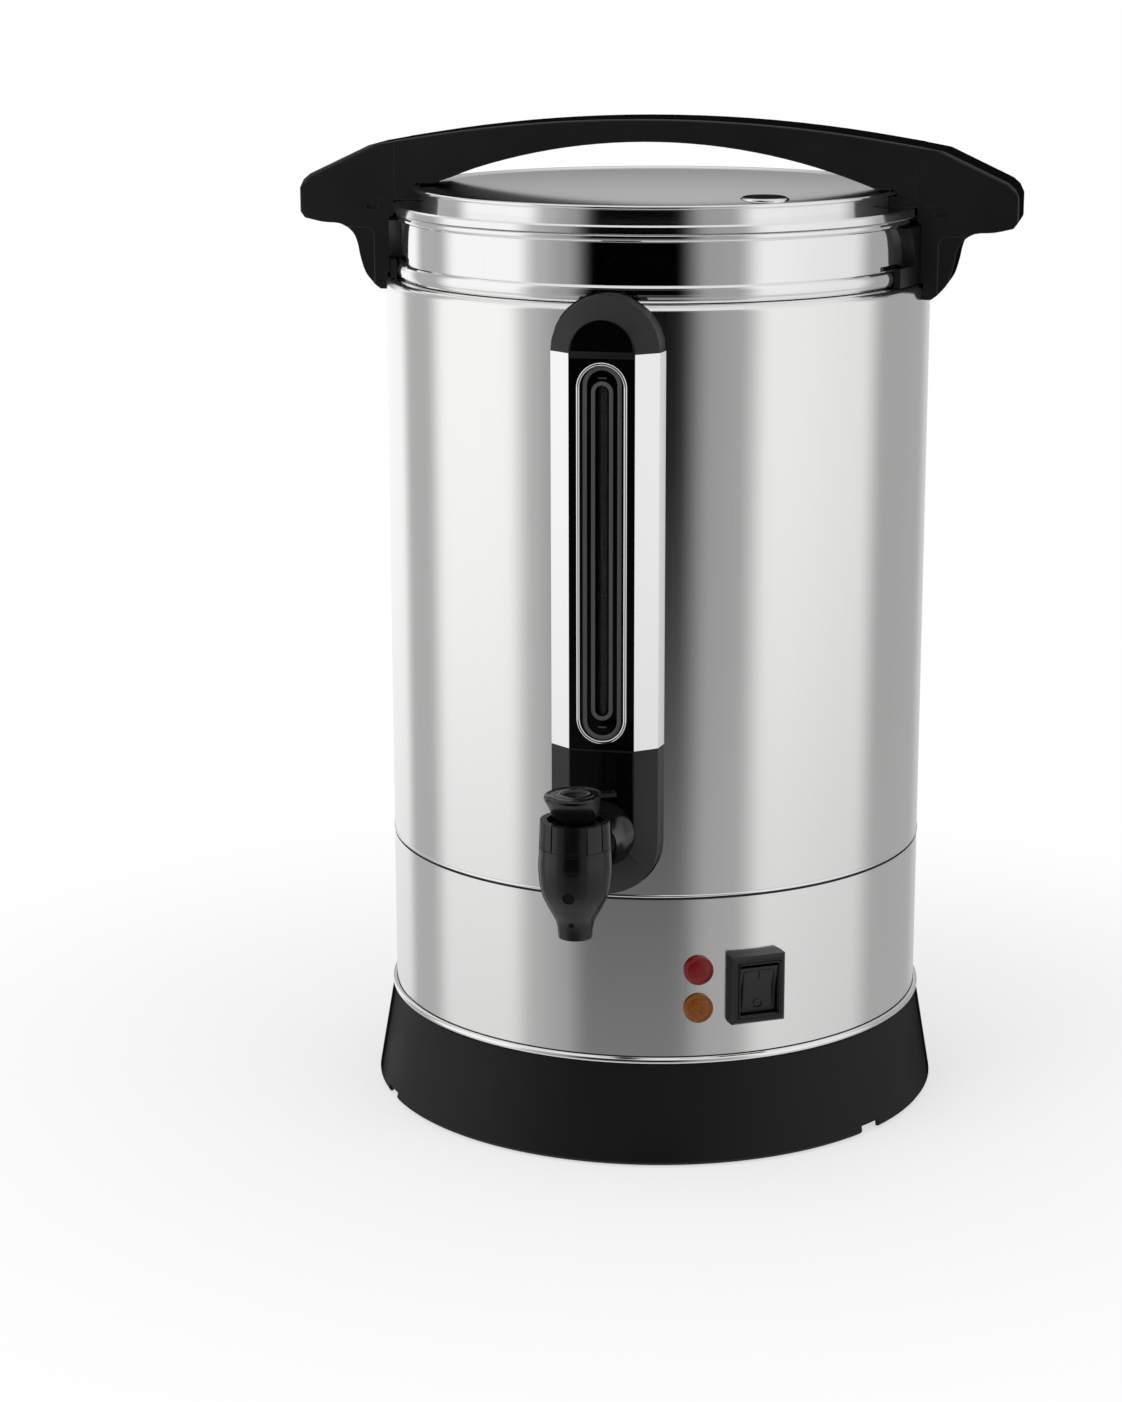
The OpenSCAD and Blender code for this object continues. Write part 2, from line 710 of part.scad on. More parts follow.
module inlet_screws() {
    color(bright) on_wall(180, inlet_z) for (s = [-1, 1]) {
        y_rod(3, -inlet_out - 1.8, -inlet_out - snug, s * 20, 0);
        y_rod(1.5, -inlet_out - 1, 6, s * 20, 0);
    }
}

// Proud frame round the rocker, curved behind to fit the housing
module switch_frame() {
    color(black) on_wall(switch_angle, switch_z) difference() {
        union() {
            translate([-switch_w / 2, -switch_out + 1.5, -switch_h / 2])
                cube([switch_w, switch_out + 1, switch_h]);
            hull() {
                translate([-switch_w / 2, -switch_out + 1.5, -switch_h / 2])
                    cube([switch_w, 0.5, switch_h]);
                translate([-switch_w / 2 + 1.2, -switch_out, -switch_h / 2 + 1.2])
                    cube([switch_w - 2.4, 0.5, switch_h - 2.4]);
            }
        }
        translate([0, shell_r, -switch_h]) cylinder(r = shell_r + snug, h = 2 * switch_h);
        translate([-switch_open_w / 2, -switch_out - 1, -switch_open_h / 2])
            cube([switch_open_w, switch_out + 8, switch_open_h]);
        hull() {
            translate([-switch_open_w / 2 - 1.2, -switch_out - eps, -switch_open_h / 2 - 1.2])
                cube([switch_open_w + 2.4, 0.01, switch_open_h + 2.4]);
            translate([-switch_open_w / 2, -switch_out + 1.2, -switch_open_h / 2])
                cube([switch_open_w, 0.01, switch_open_h]);
        }
        x_rod(pin_r + run_fit, -switch_open_w / 2 - 2.2, switch_open_w / 2 + 2.2, -rocker_pivot, 0);
    }
}

// Contact block behind the frame, reaching through the housing
module switch_body() {
    color(black) on_wall(switch_angle, switch_z) difference() {
        union() {
            translate([-10.6, 3.4, -13.9]) cube([21.2, 15, 27.8]);
            for (v = [-1, 1]) translate([-10.6, 0.42, v * 13.1 - 0.8]) cube([21.2, 4, 1.6]);
        }
        for (v = [-4, 4]) y_rod(1.45, 14, 22, 0, v);
    }
}

// Two-way rocker, shown with its lower half pressed in
module switch_rocker() {
    half = rocker_h / 2;
    color(black) on_wall(switch_angle, switch_z) translate([0, -rocker_pivot, 0])
        rotate([rocker_swing / 2, 0, 0]) {
            difference() {
                rotate([90, 0, 90]) linear_extrude(height = rocker_w, center = true) polygon([
                    [rocker_face, -half], [rocker_face + 1, 0], [rocker_face, half],
                    [-0.6, half - 0.6], [2.4, 5], [2.4, -5], [-0.6, -half + 0.6]]);
                mark_bar();
                mark_ring();
            }
            x_rod(pin_r, -switch_open_w / 2 - 1.8, switch_open_w / 2 + 1.8);
        }
}

// Plain engraved bar on the upper half of the rocker
module mark_bar() {
    translate([-0.5, rocker_face - 0.6, 4.8]) cube([1, 1.5, 5]);
}

// Plain engraved ring on the lower half of the rocker
module mark_ring() {
    translate([0, 0, -7.3]) difference() {
        y_rod(2.6, rocker_face - 1, rocker_face + 0.9);
        y_rod(1.8, rocker_face - 2, rocker_face + 2);
    }
}

// A domed lamp lens with its stem through the housing
module lamp(z) {
    lens_r = lamp_d / 2;
    dome = 1.6;
    base_out = 1.4;
    dome_r = (lens_r * lens_r + dome * dome) / (2 * dome);
    on_wall(lamp_angle, z) {
        difference() {
            rotate([90, 0, 0]) rotate_extrude() polygon(concat([[0, -1], [lens_r, -1],
                [lens_r, base_out]], [for (i = [1 : 8]) let (r = lens_r * (1 - i / 8))
                [r, base_out + sqrt(dome_r * dome_r - r * r) - dome_r + dome]]));
            translate([0, shell_r, -20]) cylinder(r = shell_r + snug, h = 40);
        }
        y_rod(5, -1, 12);
    }
}

module lamp_red() {
    color([0.72, 0.08, 0.09]) lamp(lamp_z);
}

module lamp_amber() {
    color([0.85, 0.5, 0.08]) lamp(lamp_z - lamp_pitch);
}

module lamp_nuts() {
    color(bright) for (k = [0, 1]) on_wall(lamp_angle, lamp_z - k * lamp_pitch) difference() {
        rotate([-90, 0, 0]) translate([0, 0, shell_wall + 0.4]) cylinder(r = 8.4, h = 3.5, $fn = 6);
        y_rod(5 + snug, 0, 8);
    }
}

// ---------------------------------------------------------------- gauge column

// An upright slice of the column: a pill with its own centres and half width
module column_slice(half_w, y, top_z, bottom_z, t = 0.02) {
    hull() {
        y_rod(half_w, y, y + t, 0, top_z, $fn = column_hull_fn);
        y_rod(half_w, y, y + t, 0, bottom_z, $fn = column_hull_fn);
    }
}

// Solid outer form of the column, shrunk all round by a wall thickness
module column_form(shrink = 0) {
    wall_y = -shell_r + 24;
    union() {
        hull() {
            column_slice(col_w / 2 - shrink, wall_y, cap_z, col_foot_z);
            column_slice(col_w / 2 - shrink, -shell_r + 3.2, cap_z, col_foot_z);
            column_slice(col_mid_w / 2 - shrink, col_mid_y + shrink * 0.5, cap_z, col_foot_z);
        }
        hull() {
            column_slice(col_mid_w / 2 - shrink, col_mid_y + shrink * 0.5, cap_z, col_foot_z);
            column_slice(col_face_w / 2 - shrink * 0.4, col_face_y + shrink, cap_z, tap_z);
        }
    }
}

// A block across the column between two heights
module column_band(z0, z1) {
    translate([-col_w, -shell_r - col_out - 5, z0]) cube([2 * col_w, 40, z1 - z0]);
}

// Where the column's screws pass the shell
function column_screw_spots() = [[10.5, cap_z + 7], [-10.5, cap_z + 7],
    [17, housing_top_z - 12], [-17, housing_top_z - 12]];

screw_boss_end = -8;
cap_boss_end = 1.2 - col_out;

module gauge_cap() {
    lip_z = cap_z - lip_band_h + 0.4;
    color(black) difference() {
        union() {
            difference() {
                intersection() {
                    column_form();
                    column_band(cap_z + snug, cap_z + col_w);
                }
                intersection() {
                    column_form(col_wall);
                    column_band(cap_z - 1, cap_z + col_w);
                }
            }
            for (s = [-1, 1]) y_rod(3.4, -shell_r + cap_boss_end, -shell_r + 3, s * 10.5, cap_z + 7);
            tube_socket_top();
            translate([-col_face_w / 2 + snug, col_face_y - 0.4, lip_z])
                cube([col_face_w - 2 * snug, 2.4, cap_z - lip_z + 1]);
        }
        wall_cut();
        for (s = [-1, 1]) y_rod(1.45, -shell_r - 7, -shell_r + 6, s * 10.5, cap_z + 7);
        translate([0, tube_y, cap_z - 1]) cylinder(r = tube_seal_r + snug, h = 8);
        cap_plate_form(0.1);
    }
}

// Boss in the cap that takes the top of the sight tube
module tube_socket_top() {
    intersection() {
        translate([-8, tube_y - 6, cap_z + snug]) cube([16, 12, 12]);
        column_form(col_wall - 0.2);
    }
}

tube_seal_r = tube_d / 2 + 0.8;

// Half-round outline on the cap's face
module cap_plate_form(grow) {
    r = col_face_w / 2 - 1.2 + grow;
    intersection() {
        y_rod(r, col_face_y - 0.3, col_face_y + 0.5 + grow, 0, cap_z + 0.9);
        translate([-r, col_face_y - 1, cap_z + 0.9 - grow]) cube([2 * r, 3, r + 1]);
    }
}

module cap_plate() {
    color(gloss) intersection() {
        cap_plate_form(0);
        translate([-30, col_face_y - 0.1, cap_z]) cube([60, 1, 60]);
    }
}

// Inner channel that carries the backing, the panel and the trims
module gauge_chassis() {
    leg_out = trim_inner_x(web_front_y) - snug;
    web_in = tube_d / 2 + 2;
    web_back_y = web_front_y + 1.5;
    color(black) difference() {
        translate([0, 0, housing_top_z + snug]) linear_extrude(height = cap_z - housing_top_z - 2 * snug)
            union() for (s = [-1, 1]) polygon([[s * web_in, web_front_y], [s * leg_out, web_front_y],
                [s * leg_out, -shell_r + 8], [s * (leg_out - 2), -shell_r + 8],
                [s * (leg_out - 2), web_back_y], [s * web_in, web_back_y]]);
        wall_cut();
    }
}

trim_t = 1.5;
trim_face_y = col_face_y + trim_t * 1.25;
trim_mid_x = col_mid_w / 2 - trim_t;
trim_mid_y = col_mid_y + trim_t / 2;

// Half width between the insides of the two trims at a depth y
function trim_inner_x(y) = col_face_w / 2
    + (trim_mid_x - col_face_w / 2) * (y - trim_face_y) / (trim_mid_y - trim_face_y);

// One bright facet strip of the column; side is -1 or 1
module gauge_trim(side) {
    face = col_face_w / 2;
    mid = col_mid_w / 2;
    wall_half = col_w / 2;
    back_y = -shell_r + 3.2;
    color(bright) difference() {
        translate([0, 0, housing_top_z + snug]) linear_extrude(height = cap_z - housing_top_z - 2 * snug)
            polygon([[side * face, col_face_y], [side * mid, col_mid_y], [side * wall_half, back_y],
                [side * (wall_half - trim_t), back_y], [side * trim_mid_x, trim_mid_y],
                [side * face, trim_face_y]]);
        wall_cut();
    }
}

module gauge_trim_left() {
    gauge_trim(-1);
}

module gauge_trim_right() {
    gauge_trim(1);
}

module gauge_panel() {
    half = col_face_w / 2 - snug;
    color(gloss) difference() {
        translate([-half, col_face_y, housing_top_z + snug])
            cube([2 * half, panel_back_y - col_face_y, panel_top_z - housing_top_z - 2 * snug]);
        pill(window_r + snug, window_bottom_z - snug, window_top_z + snug, col_face_y - 1, panel_back_y + 1);
    }
}

module gauge_backing() {
    half = window_r + 1;
    color(gloss) difference() {
        translate([-half, panel_back_y + snug, housing_top_z + 2])
            cube([2 * half, backing_t - 2 * snug, panel_top_z - housing_top_z - 4]);
        pill(slot_w / 2, slot_bottom_z, slot_top_z, panel_back_y - 1, panel_back_y + 3);
    }
}

// A pill-shaped frame of a given line width, standing on the backing
module pill_frame(half_w, line, z0, z1, out_y) {
    difference() {
        pill(half_w, z0, z1, out_y, panel_back_y);
        pill(half_w - line, z0 + line, z1 - line, out_y - 1, panel_back_y + 1);
    }
}

module gauge_bezel() {
    color(bright) pill_frame(window_r, 1.8, window_bottom_z, window_top_z, col_face_y - 0.9);
}

// The two grey frames and the two level ticks
module gauge_frames() {
    outer_gap = 1.8;
    outer_half = window_r - outer_gap - 1;
    slot_half = slot_w / 2 + slot_line;
    color(grey) {
        pill_frame(outer_half, 2.1, window_bottom_z + outer_gap, window_top_z - outer_gap,
            panel_back_y - 1.2);
        pill_frame(slot_half, slot_line, slot_bottom_z - slot_line, slot_top_z + slot_line,
            panel_back_y - 1.4);
        translate([-2.2, panel_back_y - 0.5, slot_top_z + slot_line + 1]) cube([4.4, 0.5, 0.8]);
        translate([-2.2, panel_back_y - 0.5, slot_bottom_z - slot_line - 3.8]) cube([4.4, 0.5, 0.8]);
    }
}

sight_z0 = tap_z + 9;
sight_z1 = cap_z + 6;

module sight_tube() {
    color([0.82, 0.88, 0.9, 0.5]) translate([0, tube_y, 0])
        ring(tube_d / 2 - tube_wall, tube_d / 2, sight_z0, sight_z1);
}

// Rubber sleeves round the two ends of the sight tube
module tube_gaskets() {
    color(rubber_grey) translate([0, tube_y, 0]) {
        ring(tube_d / 2 + snug, tube_seal_r, sight_z0, tap_z + 18);
        ring(tube_d / 2 + snug, tube_seal_r, cap_z + 0.2, cap_z + 6.5);
    }
}

module tap_housing() {
    color(black) difference() {
        union() {
            difference() {
                intersection() {
                    column_form();
                    column_band(shell_z0 - 30, housing_top_z - snug);
                }
                intersection() {
                    column_form(col_wall);
                    column_band(shell_z0 - 30, housing_top_z + 1);
                }
            }
            for (s = [-1, 1]) y_rod(4, -shell_r + screw_boss_end, -shell_r + 3, s * 17, housing_top_z - 12);
        }
        wall_cut();
        y_rod(shank_d / 2 + slip, col_face_y - 1, col_face_y + 6, 0, tap_z);
        for (s = [-1, 1]) y_rod(1.45, -shell_r - 7, -shell_r + 6, s * 17, housing_top_z - 12);
        tap_plate_form(0.1);
    }
}

// Long half-round outline on the face of the lower housing
module tap_plate_form(grow) {
    r = col_face_w / 2 - 0.8 + grow;
    intersection() {
        pill(r, tap_z - r, housing_top_z + 2 * r, col_face_y - 0.3, col_face_y + 0.6 + grow);
        translate([-r, col_face_y - 1, tap_z - 2 * r])
            cube([2 * r, 3, housing_top_z - tap_z + 2 * r - 1 + grow]);
    }
}

module tap_plate() {
    color(gloss) difference() {
        intersection() {
            tap_plate_form(0);
            translate([-30, col_face_y, tap_z - 40]) cube([60, 1, 100]);
        }
        y_rod(shank_d / 2 + slip, col_face_y - 1, col_face_y + 6, 0, tap_z);
    }
}

// Screws from inside the shell into the cap and the lower housing
module column_screws() {
    head_r = 3;
    color(bright) for (p = column_screw_spots()) {
        head_edge = abs(p[0]) + head_r;
        seat_y = snug - sqrt(shell_in_r * shell_in_r - head_edge * head_edge);
        y_rod(head_r, seat_y, seat_y + 2, p[0], p[1]);
        y_rod(1.4, -shell_r - 5.5, seat_y + 1, p[0], p[1]);
    }
}

// ---------------------------------------------------------------- tap

shank_r = shank_d / 2;
shank_in_y = -tank_in_r + 12;
shank_out_y = col_face_y - 14;

// Threaded tube from the tank to the tap, with the port that feeds the sight tube
module tap_shank() {
    socket_r = tube_seal_r + 0.9;
    color(steel) difference() {
        union() {
            y_rod(shank_r, shank_out_y, shank_in_y, 0, tap_z);
            translate([0, tube_y, tap_z]) cylinder(r = socket_r, h = 18);
        }
        y_rod(shank_bore_d / 2, shank_out_y - 1, shank_in_y + 1, 0, tap_z);
        translate([0, tube_y, tap_z]) cylinder(r = tube_d / 2 - tube_wall, h = 12);
        translate([0, tube_y, sight_z0 - snug]) cylinder(r = tube_seal_r + snug, h = 12);
    }
}

washer_r = shank_r + 4.5;
nut_y = -tank_in_r + 2.4;

// Nut on the shank, inside the tank
module tap_nut() {
    color(steel) difference() {
        translate([0, nut_y + snug, tap_z]) rotate([-90, 0, 0]) cylinder(r = washer_r + 1, h = 6, $fn = 6);
        y_rod(shank_r + snug, nut_y - 5, nut_y + 10, 0, tap_z);
    }
}

// Sealing washers inside the tank and between tank and shell
module tap_washers() {
    color(silicone) difference() {
        union() {
            intersection() {
                y_rod(washer_r, -tank_in_r - 2, nut_y, 0, tap_z);
                cylinder(r = tank_in_r - snug, h = shell_z1);
            }
            intersection() {
                y_rod(washer_r, -shell_in_r - 2, -tank_r + 3, 0, tap_z);
                ring(tank_r + snug, shell_in_r - snug, tap_z - 30, tap_z + 30);
            }
        }
        y_rod(shank_r + snug, -shell_r - 5, nut_y + 10, 0, tap_z);
    }
}

// Turned outline of the tap body, as radius and height pairs from the centre line
function tap_outline() = smooth([[outlet_d / 2, -nozzle_h], [outlet_d / 2 + 0.3, -nozzle_h + 4],
    [outlet_d / 2 + 1.4, -nozzle_h + 8.5], [outlet_d / 2 + 4.4, -nozzle_h + 14],
    [tap_body_d / 2 - 1.2, -nozzle_h + 22], [tap_body_d / 2, 2.5],
    [tap_body_d / 2 - 0.5, bonnet_z - tap_z - snug]], 4);

module tap_body() {
    color(black) difference() {
        union() {
            translate([0, tap_y, tap_z])
                rotate_extrude() polygon(concat([[0, -nozzle_h]], tap_outline(),
                    [[0, bonnet_z - tap_z - snug]]));
            y_rod(barrel_r, tap_y, col_face_y - 2, 0, tap_z);
            y_rod(barrel_r + 0.8, col_face_y - 3, col_face_y - snug, 0, tap_z);
        }
        translate([0, tap_y, 0]) rotate_extrude() polygon([[0, tap_z - nozzle_h - 1],
            [outlet_bore_d / 2, tap_z - nozzle_h - 1], [outlet_bore_d / 2, seat_z], [chamber_r, seat_z],
            [chamber_r, bonnet_z + 5], [0, bonnet_z + 5]]);
        translate([0, 0, tap_z]) rotate([-90, 0, 0]) rotate_extrude() polygon([[0, tap_y + 3],
            [shank_bore_d / 2, tap_y + 3], [shank_bore_d / 2, shank_out_y - snug],
            [shank_r + snug, shank_out_y - snug], [shank_r + snug, col_face_y + 1], [0, col_face_y + 1]]);
        translate([0, tap_y - tap_body_d / 2 + 2.2, tap_z - 8]) y_rod(2.8, -6, 0);
        translate([0, tap_y - outlet_d / 2, tap_z - 22.6]) y_rod(1.3, -4, -0.5);
    }
}

// Grooved collar with a dished top, its plug and the ear that carries the lever
module tap_bonnet() {
    groove = 0.35;
    band_z = 1.8;
    color(black) difference() {
        union() {
            translate([0, tap_y, bonnet_z]) cylinder(r1 = bonnet_r + 0.4, r2 = bonnet_r - 0.2, h = bonnet_h);
            translate([0, tap_y, bonnet_z - 6]) cylinder(r = chamber_r - snug, h = 7);
        }
        for (i = [0 : bonnet_grooves - 1]) translate([0, tap_y, bonnet_z])
            rotate([0, 0, i * 360 / bonnet_grooves]) translate([-groove, -bonnet_r - 1, band_z])
                cube([2 * groove, 1.6, bonnet_h]);
        translate([0, tap_y, bonnet_z + band_z]) ring(bonnet_r - 0.1, bonnet_r + 2, -0.2, 0.2);
        translate([0, tap_y, bonnet_top_z - recess_depth]) cylinder(r = recess_r, h = recess_depth + 1);
        translate([0, tap_y, bonnet_z - 7]) cylinder(r = stem_d / 2 + run_fit, h = 30);
    }
    color(black) lever_ear();
}

// Upright ear in the dish, bored for the hinge pin
module lever_ear() {
    floor_z = bonnet_top_z - recess_depth;
    difference() {
        union() {
            translate([-ear_w / 2, hinge_y - 2.2, floor_z - eps]) cube([ear_w, 3.9, hinge_z - floor_z]);
            x_rod(2.2, -ear_w / 2, ear_w / 2, hinge_y, hinge_z);
        }
        x_rod(pin_r + run_fit, -ear_w, ear_w, hinge_y, hinge_z);
    }
}

// Return spring between the seat cup and the bonnet's plug
module tap_spring() {
    wire_r = 0.6;
    coil_r = 5.4;
    turns = 4;
    z0 = seat_z + cup_h + wire_r + snug;
    z1 = bonnet_z - 6 - wire_r - snug;
    steps = turns * 16;
    sides = 8;
    points = [for (i = [0 : steps], j = [0 : sides - 1])
        let (a = 360 * turns * i / steps, b = 360 * j / sides, r = coil_r + wire_r * cos(b))
            [r * cos(a), tap_y + r * sin(a), z0 + (z1 - z0) * i / steps + wire_r * sin(b)]];
    faces = concat(
        [for (i = [0 : steps - 1], j = [0 : sides - 1]) let (k = (j + 1) % sides)
            [i * sides + j, i * sides + k, (i + 1) * sides + k, (i + 1) * sides + j]],
        [[for (j = [0 : sides - 1]) sides - 1 - j], [for (j = [0 : sides - 1]) steps * sides + j]]);
    color(bright) polyhedron(points, faces);
}

// Plunger rod with the eye that the cam pin lifts
module tap_stem() {
    top = hinge_z + 2.6;
    tongue = 2.8;
    color(bright) difference() {
        union() {
            translate([0, tap_y, seat_z + 2]) cylinder(r = stem_d / 2, h = hinge_z - 4 - seat_z - 2);
            translate([-tongue / 2, tap_y - 2.7, hinge_z - 6]) cube([tongue, 5, top - hinge_z + 6]);
        }
        translate([-5, tap_y - cam_r - 0.75, hinge_z - cam_r - 0.12])
            cube([10, 2 * cam_r + 1, 2 * cam_r + 0.24]);
    }
}

// Silicone cup that closes the outlet
module seat_cup() {
    color(silicone) translate([0, tap_y, seat_z]) difference() {
        union() {
            translate([0, 0, snug]) cylinder(r1 = 7.2, r2 = 7.6, h = cup_h - 3);
            translate([0, 0, cup_h - 3]) cylinder(r = 6.6, h = 3);
        }
        translate([0, 0, 2 - snug]) cylinder(r = stem_d / 2 + snug, h = 10);
    }
}

// Flared thumb lever with one flat side and a short tail
module tap_lever() {
    neck_r = 10.4;
    top_r = lever_d / 2;
    slot_front = 4.3;
    slot_end = 6;
    outline = smooth([[neck_r, 0], [neck_r + 0.3, lever_h * 0.18], [neck_r + 1.7, lever_h * 0.48],
        [top_r, lever_h * 0.82]], 3);
    color(black) difference() {
        union() {
            difference() {
                translate([0, tap_y, lever_z]) rotate_extrude() polygon(concat([[0, 0]], outline,
                    [[top_r - 0.3, lever_h - 0.9], [top_r - 1.6, lever_h - 0.2], [top_r - 3.6, lever_h - 0.8],
                        [top_r - 5.2, lever_h - 0.6], [top_r - 6.4, lever_h], [top_r - 7.4, lever_h],
                        [top_r - 8.4, lever_h - 1], [0, lever_h - 1.6]]));
                translate([neck_r - 0.4, tap_y - 20, lever_z - 1]) cube([10, 40, lever_h + 2]);
            }
            translate([5, tap_y + 3, lever_top_z - 3]) rotate([0, 0, 24]) cube([13.5, 5, 1.8]);
        }
        translate([-lever_slot_w / 2, hinge_y - slot_front, lever_z - 1])
            cube([lever_slot_w, tap_y - hinge_y + slot_front + slot_end, hinge_z - lever_z + 6]);
        x_rod(pin_r, -8.7, 20, hinge_y, hinge_z);
        x_rod(cam_r, -8.7, 20, tap_y, hinge_z);
    }
}

// Hinge pin and cam pin, both held by the lever
module lever_pins() {
    color(bright) {
        x_rod(pin_r - 0.02, -8.6, 8.6, hinge_y, hinge_z);
        x_rod(cam_r - 0.02, -8.6, 8.6, tap_y, hinge_z);
    }
}

// ---------------------------------------------------------------- side grips

// Outline of a grip seen from the front, from the body outward
function grip_outline() = let (
    tip_top = grip_under_z + 17.5,
    tip_low = tip_top - grip_tip_h,
    foot_z = grip_under_z - bracket_h) concat(
    [[grip_in_r - 8, grip_top_z + 1.35], [grip_reach - 36, grip_top_z - 2.1],
        [grip_reach - 5.2, tip_top + 6.95], [grip_reach - 2, tip_top + 4.2],
        [grip_reach, tip_top], [grip_reach, tip_low]],
    smooth([[grip_reach - 2.4, tip_low - 3.2], [grip_reach - 11.5, grip_under_z + 0.8],
        [bracket_reach + 9.5, grip_under_z], [bracket_reach + 3.6, grip_under_z - 4.2],
        [bracket_reach + 1.2, grip_under_z - 9.5], [bracket_reach, grip_under_z - 15.5],
        [bracket_reach - 2.6, foot_z + 8.3], [bracket_reach - 7, foot_z + 2.8],
        [bracket_reach - 10.6, foot_z]], 3),
    [[shell_r - 6, foot_z], [grip_in_r - 8, foot_z + 4]]);

// One side grip with its bracket; side is -1 or 1
module grip(side) {
    panel_depth = 0.8;
    color(black) difference() {
        rotate([90, 0, 0]) linear_extrude(height = bar_w, center = true)
            polygon([for (p = grip_outline()) [side * p[0], p[1]]]);
        disc(shell_r + snug, 0, shell_z1 + snug);
        disc(saddle_r1 + snug, lower_bead_z - eps, rim_z0 + 0.3);
        disc(grip_in_r, rim_z0, grip_top_z + 20);
        for (t = [-1, 1]) {
            x_rod(2.35, side > 0 ? shell_r - 10 : -bracket_reach + 3,
                side > 0 ? bracket_reach - 3 : 10 - shell_r, t * grip_screw_pitch / 2, grip_screw_z);
            bracket_pocket(side, t, panel_depth);
            lock_slot(side, t);
        }
    }
    color(black) for (t = [-1, 1]) lock_hook(side, t);
}

// Shallow pocket that leaves a raised rib down the bracket
module bracket_pocket(side, t, depth) {
    x0 = saddle_r1 + 7;
    z1 = grip_under_z - 1.5;
    z0 = grip_under_z - bracket_h + 3;
    y_face = t * bar_w / 2;
    difference() {
        translate([side > 0 ? x0 : -x0 - 40, y_face - depth, z0]) cube([40, 2 * depth, z1 - z0]);
        translate([side * x0, y_face, z1]) rotate([0, 45, 0]) cube([4, 4 * depth, 4], center = true);
    }
}

// Short slot beside the lid's seam
module lock_slot(side, t) {
    translate([side * (grip_in_r + 9.5), t * bar_w / 2, rim_z1 + 0.5]) cube([5, 1.6, 2.4], center = true);
}

// Small moulded hook beside the lid's seam
module lock_hook(side, t) {
    translate([side * (grip_in_r + 4.2), t * (bar_w / 2 + 0.15), rim_z1 + 3.4])
        cube([4, 0.5, 3], center = true);
    translate([side * (grip_in_r + 5.4), t * (bar_w / 2 + 0.15), rim_z1 + 1.2])
        cube([2, 0.5, 3], center = true);
}

module grip_left() {
    grip(-1);
}

module grip_right() {
    grip(1);
}

// Clamp between the neck and the bracket, with a tab over the lower bead
module saddle(side) {
    tab_reach = saddle_reach * 1.6;
    tab_top = neck_z + 1;
    top = rim_z0 - 0.15;
    flare = 9;
    color(black) difference() {
        intersection() {
            union() {
                intersection() {
                    ring(saddle_r0, saddle_r1, neck_z + 0.1, top);
                    translate([side > 0 ? 60 : -160, 0, 0]) rotate([90, 0, 90]) linear_extrude(height = 100)
                        polygon(concat([for (p = saddle_edge(flare, top)) p],
                            [for (i = [0 : 12]) let (p = saddle_edge(flare, top)[12 - i]) [-p[0], p[1]]]));
                }
                intersection() {
                    ring(lower_bead_r + 0.1, saddle_r1, lower_bead_z + 0.1, tab_top);
                    translate([side > 0 ? 60 : -160, -tab_reach, lower_bead_z])
                        cube([100, 2 * tab_reach, tab_top - lower_bead_z + 1]);
                }
            }
            translate([side > 0 ? 0 : -400, -200, 0]) cube([400, 400, rim_z1]);
        }
        for (t = [-1, 1]) x_rod(2.6, side > 0 ? 100 : -150, side > 0 ? 150 : -100,
            t * grip_screw_pitch / 2, grip_screw_z);
    }
}

// Edge of a saddle in the YZ plane, narrow below and flared under the rim
function saddle_edge(flare, top) = [for (i = [0 : 12]) let (t = i / 12)
    [saddle_reach + flare * pow(t, 3), neck_z + (top - neck_z) * t]];

module saddle_left() {
    saddle(-1);
}

module saddle_right() {
    saddle(1);
}

// Screws from inside the tank through neck and saddle into each grip
module grip_screws() {
    head_r = 4.2;
    head_edge = grip_screw_pitch / 2 + head_r;
    seat_x = sqrt(tank_in_r * tank_in_r - head_edge * head_edge) - snug;
    color(bright) for (s = [-1, 1], t = [-1, 1]) {
        x_rod(head_r, s > 0 ? seat_x - 2.6 : -seat_x, s > 0 ? seat_x : -seat_x + 2.6,
            t * grip_screw_pitch / 2, grip_screw_z);
        x_rod(2.3, s > 0 ? seat_x - 1 : -bracket_reach + 4, s > 0 ? bracket_reach - 4 : 1 - seat_x,
            t * grip_screw_pitch / 2, grip_screw_z);
    }
}

// ---------------------------------------------------------------- lid

vent_x = vent_reach * sin(vent_angle);
vent_y = -vent_reach * cos(vent_angle);

// Height of the crowned top at a radius
function crown_z(r) = crown_foot + crown_h * (1 - pow(r / crown_r, 2));

module lid_cover() {
    w = lid_wall;
    spigot_r = tank_in_r - 0.5;
    crown = [for (k = [0:11]) [crown_r * k / 12, crown_z(crown_r * k / 12)]];
    under = [for (k = [11:-1:0]) crown[k] - [0, w]];
    color(bright) union() {
        difference() {
            union() {
                rotate_extrude() polygon(concat(crown, [[crown_r, crown_foot],
                    [lip_r - 3, lip_top], [lip_r - 0.5, lip_top], [lip_r, lip_top - 0.5],
                    [lip_r, lip_top - lip_h + 0.4], [lip_r - 0.6, lip_top - lip_h],
                    [lid_skirt_r, lip_top - lip_h - 0.8], [lid_skirt_r, flange_top],
                    [flange_r - 0.8, flange_top], [flange_r, flange_top - 0.8], [flange_r, lid_z],
                    [flange_r - w, lid_z], [flange_r - w, flange_top - w], [lid_skirt_r - w, flange_top - w],
                    [lid_skirt_r - w, lip_top - 1.8]], under));
                ring(spigot_r - w, spigot_r, lid_z - spigot_h, flange_top - w + eps);
            }
            translate([vent_x, vent_y, crown_z(vent_reach) - 5]) cylinder(d = vent_bore_d, h = 10);
            for (s = [-1, 1], t = [-1, 1]) translate([s * lid_screw_x, t * lid_screw_y, flange_top - 3])
                cylinder(r = screw_r, h = 4, $fn = 32);
        }
        vent_rim();
    }
}

